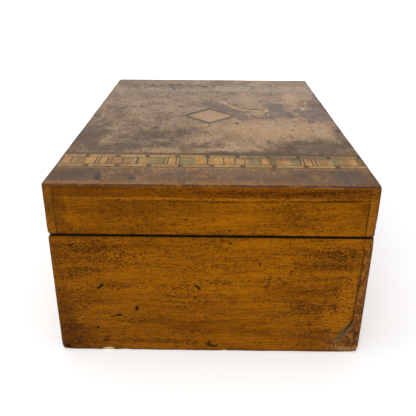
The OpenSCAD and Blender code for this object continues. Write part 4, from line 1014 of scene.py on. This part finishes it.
def fastener_tree(slotted):
    """Geometry nodes: a screw or brad with its head's face at each point, turned by chance."""
    tree = bpy.data.node_groups.new("slotted_screws" if slotted else "brads", "GeometryNodeTree")
    face = tree.interface
    face.new_socket("Points", in_out="INPUT", socket_type="NodeSocketGeometry")
    for label in FASTENER_SIZES:
        face.new_socket(label, in_out="INPUT", socket_type="NodeSocketFloat")
    face.new_socket("Tilt", in_out="INPUT", socket_type="NodeSocketVector")
    face.new_socket("Seed", in_out="INPUT", socket_type="NodeSocketInt")
    face.new_socket("Finish", in_out="INPUT", socket_type="NodeSocketMaterial")
    face.new_socket("Fasteners", in_out="OUTPUT", socket_type="NodeSocketGeometry")
    start = tree.nodes.new("NodeGroupInput").outputs
    end = tree.nodes.new("NodeGroupOutput")

    def add(kind, values, **settings):
        node = tree.nodes.new(kind)
        for key, value in settings.items():
            setattr(node, key, value)
        for key, value in values.items():
            if isinstance(value, bpy.types.NodeSocket):
                tree.links.new(value, node.inputs[key])
            else:
                node.inputs[key].default_value = value
        return node.outputs

    def calc(operation, a, b):
        return add("ShaderNodeMath", {0: a, 1: b}, operation=operation)[0]

    def at_height(geometry, height):
        place = add("ShaderNodeCombineXYZ", {2: height})[0]
        return add("GeometryNodeTransform", {"Geometry": geometry, "Translation": place})[0]

    head_height, length = start["Head Height"], start["Length"]
    top_radius = start["Head Radius"]
    neck_radius = start["Shank Radius"] if slotted else top_radius
    head = add("GeometryNodeMeshCone", {"Vertices": HEAD_SIDES, "Radius Top": top_radius,
                                        "Radius Bottom": neck_radius, "Depth": head_height})["Mesh"]
    head = at_height(head, calc("MULTIPLY", head_height, -1.0))
    if slotted:
        size = add("ShaderNodeCombineXYZ", {0: calc("MULTIPLY", top_radius, 3.0), 1: start["Slot Width"],
                                            2: calc("MULTIPLY", start["Slot Depth"], 2.0)})[0]
        slot = add("GeometryNodeMeshCube", {"Size": size})["Mesh"]
        cut = tree.nodes.new("GeometryNodeMeshBoolean")
        cut.operation = "DIFFERENCE"
        cut.solver = "EXACT"
        tree.links.new(head, cut.inputs["Mesh 1"])
        tree.links.new(slot, cut.inputs["Mesh 2"])
        head = cut.outputs["Mesh"]
    tip = calc("MULTIPLY", start["Shank Radius"], POINT_LENGTH)
    straight = calc("SUBTRACT", calc("SUBTRACT", length, tip), head_height)
    shank = add("GeometryNodeMeshCylinder", {"Vertices": SHANK_SIDES, "Radius": start["Shank Radius"],
                                             "Depth": straight})["Mesh"]
    shank_middle = calc("ADD", calc("MULTIPLY", straight, 0.5), head_height)
    shank = at_height(shank, calc("MULTIPLY", shank_middle, -1.0))
    point_width = calc("MULTIPLY", start["Shank Radius"], POINT_WIDTH)
    point = add("GeometryNodeMeshCone", {"Vertices": SHANK_SIDES, "Radius Top": start["Shank Radius"],
                                         "Radius Bottom": point_width, "Depth": tip})["Mesh"]
    point = at_height(point, calc("MULTIPLY", length, -1.0))
    joined = tree.nodes.new("GeometryNodeJoinGeometry")
    for piece in (head, shank, point):
        tree.links.new(piece, joined.inputs[0])
    turn = add("FunctionNodeRandomValue", {"Min": (0, 0, -math.pi), "Max": (0, 0, math.pi),
                                           "Seed": start["Seed"]}, data_type="FLOAT_VECTOR")["Value"]
    tilted = add("GeometryNodeTransform", {"Geometry": joined.outputs[0], "Rotation": start["Tilt"]})[0]
    placed = add("GeometryNodeInstanceOnPoints", {"Points": start["Points"], "Instance": tilted,
                                                  "Rotation": turn})[0]
    real = add("GeometryNodeRealizeInstances", {"Geometry": placed})[0]
    dressed = add("GeometryNodeSetMaterial", {"Geometry": real, "Material": start["Finish"]})[0]
    tree.links.new(dressed, end.inputs["Fasteners"])
    return tree


def set_fasteners(node, name, finish, facing, slotted, tree, seed):
    """Stands new screws or brads where a CAD node has its own, with the sizes read from it."""
    bm = merged_copy(node)
    faces, sizes = [], {}
    for island in islands(bm):
        low = Vector([min(v.co[i] for v in island) for i in range(3)])
        high = Vector([max(v.co[i] for v in island) for i in range(3)])
        faces.append(((low.x + high.x) / 2, (low.y + high.y) / 2, high.z if facing > 0 else low.z))
        head = (high.x - low.x) / 2
        sizes = {"Head Radius": head, "Head Height": head * (SCREW_HEAD if slotted else BRAD_HEAD),
                 "Shank Radius": head * SHANK, "Length": high.z - low.z,
                 "Slot Width": head * SLOT, "Slot Depth": head * SLOT}
    bm.free()
    points = bpy.data.meshes.new(name + "_points")
    points.from_pydata(faces, [], [])
    carrier = bpy.data.objects.new(name + "_points", points)
    bpy.context.scene.collection.objects.link(carrier)
    modifier = carrier.modifiers.new("set", "NODES")
    modifier.node_group = tree
    values = {"Tilt": (0.0 if facing > 0 else math.pi, 0.0, 0.0), "Seed": seed, "Finish": FINISH[finish]}
    values.update(sizes)
    for item in tree.interface.items_tree:
        if item.in_out == "INPUT" and item.name in values:
            modifier[item.identifier] = values[item.name]
    graph = bpy.context.evaluated_depsgraph_get()
    mesh = bpy.data.meshes.new_from_object(carrier.evaluated_get(graph))
    bpy.data.objects.remove(carrier)
    bm = bmesh.new()
    bm.from_mesh(mesh)
    bmesh.ops.recalc_face_normals(bm, faces=bm.faces)
    finish_piece(bm, node, name, finish, FASTENER_ANGLE)
    bpy.data.meshes.remove(mesh)


TREES = {slotted: fastener_tree(slotted) for slotted in (True, False)}
for seed, (node, (name, finish, facing, slotted)) in enumerate(FASTENERS.items()):
    set_fasteners(node, name, finish, facing, slotted, TREES[slotted], seed)


# ---- Camera, floor and light ----

PICTURE = 416               # pixels across the square picture
FOCAL_PIXELS = 544.0
SENSOR = 36.0               # mm
CAMERA_AT = (-0.449, 0.0, 0.2468)                   # m
LOOK_DOWN, LOOK_ASIDE, TILT = 24.92, 0.34, 0.58     # degrees
NEAR_LIMIT, FAR_LIMIT = 0.01, 20.0                  # m

WHITE = (1.0, 1.0, 1.0, 1.0)
FLOOR_SIZE = 8.0                    # m
FLOOR_SHADE = paint(232, 232, 232)
GLOW_START, GLOW_END = 220, 800     # mm from the middle, where the floor goes over to plain white
GLOW_LEAST = 0.3                    # strength of the floor's own white by the box
SKY_LIGHT = 0.62                    # how strongly the white sky lights the box
LAMP_AIM = (0, 0, 0.06)             # m


def add_camera():
    data = bpy.data.cameras.new("camera")
    data.sensor_width = SENSOR
    data.lens = FOCAL_PIXELS / PICTURE * SENSOR
    data.clip_start, data.clip_end = NEAR_LIMIT, FAR_LIMIT
    camera = bpy.data.objects.new("camera", data)
    bpy.context.scene.collection.objects.link(camera)
    level = Matrix(((0, 0, -1), (-1, 0, 0), (0, 1, 0)))     # looks along +X with +Z up
    turn = (Matrix.Rotation(math.radians(-LOOK_DOWN), 3, "X")
            @ Matrix.Rotation(math.radians(LOOK_ASIDE), 3, "Y")
            @ Matrix.Rotation(math.radians(TILT), 3, "Z"))
    camera.matrix_world = Matrix.Translation(CAMERA_AT) @ (level @ turn).to_4x4()
    bpy.context.scene.camera = camera


def add_floor():
    bm = bmesh.new()
    bmesh.ops.create_grid(bm, x_segments=1, y_segments=1, size=FLOOR_SIZE / 2)
    mesh = bpy.data.meshes.new("floor")
    bm.to_mesh(mesh)
    bm.free()
    floor = bpy.data.objects.new("floor", mesh)
    bpy.context.scene.collection.objects.link(floor)
    material, t, shader, place = new_finish("white_floor")
    dress(t, shader, FLOOR_SHADE, 0.9, specular=0.0)
    seen = t.add("LightPath").outputs["Is Camera Ray"]
    t.put(shader.inputs["Emission Color"], WHITE)
    near = t.length(place)
    glow = t.times(seen, t.rise(near, GLOW_START, GLOW_END, GLOW_LEAST, 1.0))
    t.put(shader.inputs["Emission Strength"], glow)
    mesh.materials.append(material)


def add_world():
    world = bpy.data.worlds.new("studio")
    world.use_nodes = True
    bpy.context.scene.world = world
    t = Tree(world.node_tree)
    sky = world.node_tree.nodes["Background"]
    path = t.add("LightPath").outputs
    seen = t.most(path["Is Camera Ray"], path["Is Glossy Ray"], path["Is Transmission Ray"])
    t.put(sky.inputs["Color"], WHITE)
    t.put(sky.inputs["Strength"], t.rise(seen, 0.0, 1.0, SKY_LIGHT, 1.0))


def add_lamp(name, place, size, watts):
    data = bpy.data.lights.new(name, "AREA")
    data.shape = "SQUARE"
    data.size = size
    data.energy = watts
    lamp = bpy.data.objects.new(name, data)
    bpy.context.scene.collection.objects.link(lamp)
    lamp.location = place
    lamp.rotation_euler = (Vector(LAMP_AIM) - Vector(place)).to_track_quat("-Z", "Y").to_euler()


add_camera()
add_floor()
add_world()
# Place and size in metres, then watts
add_lamp("overhead_softbox", (-0.25, 0.2, 1.5), 1.4, 9.0)
add_lamp("front_softbox", (-1.5, 0.3, 0.75), 1.0, 7.0)
bpy.context.scene.view_settings.view_transform = "Standard"
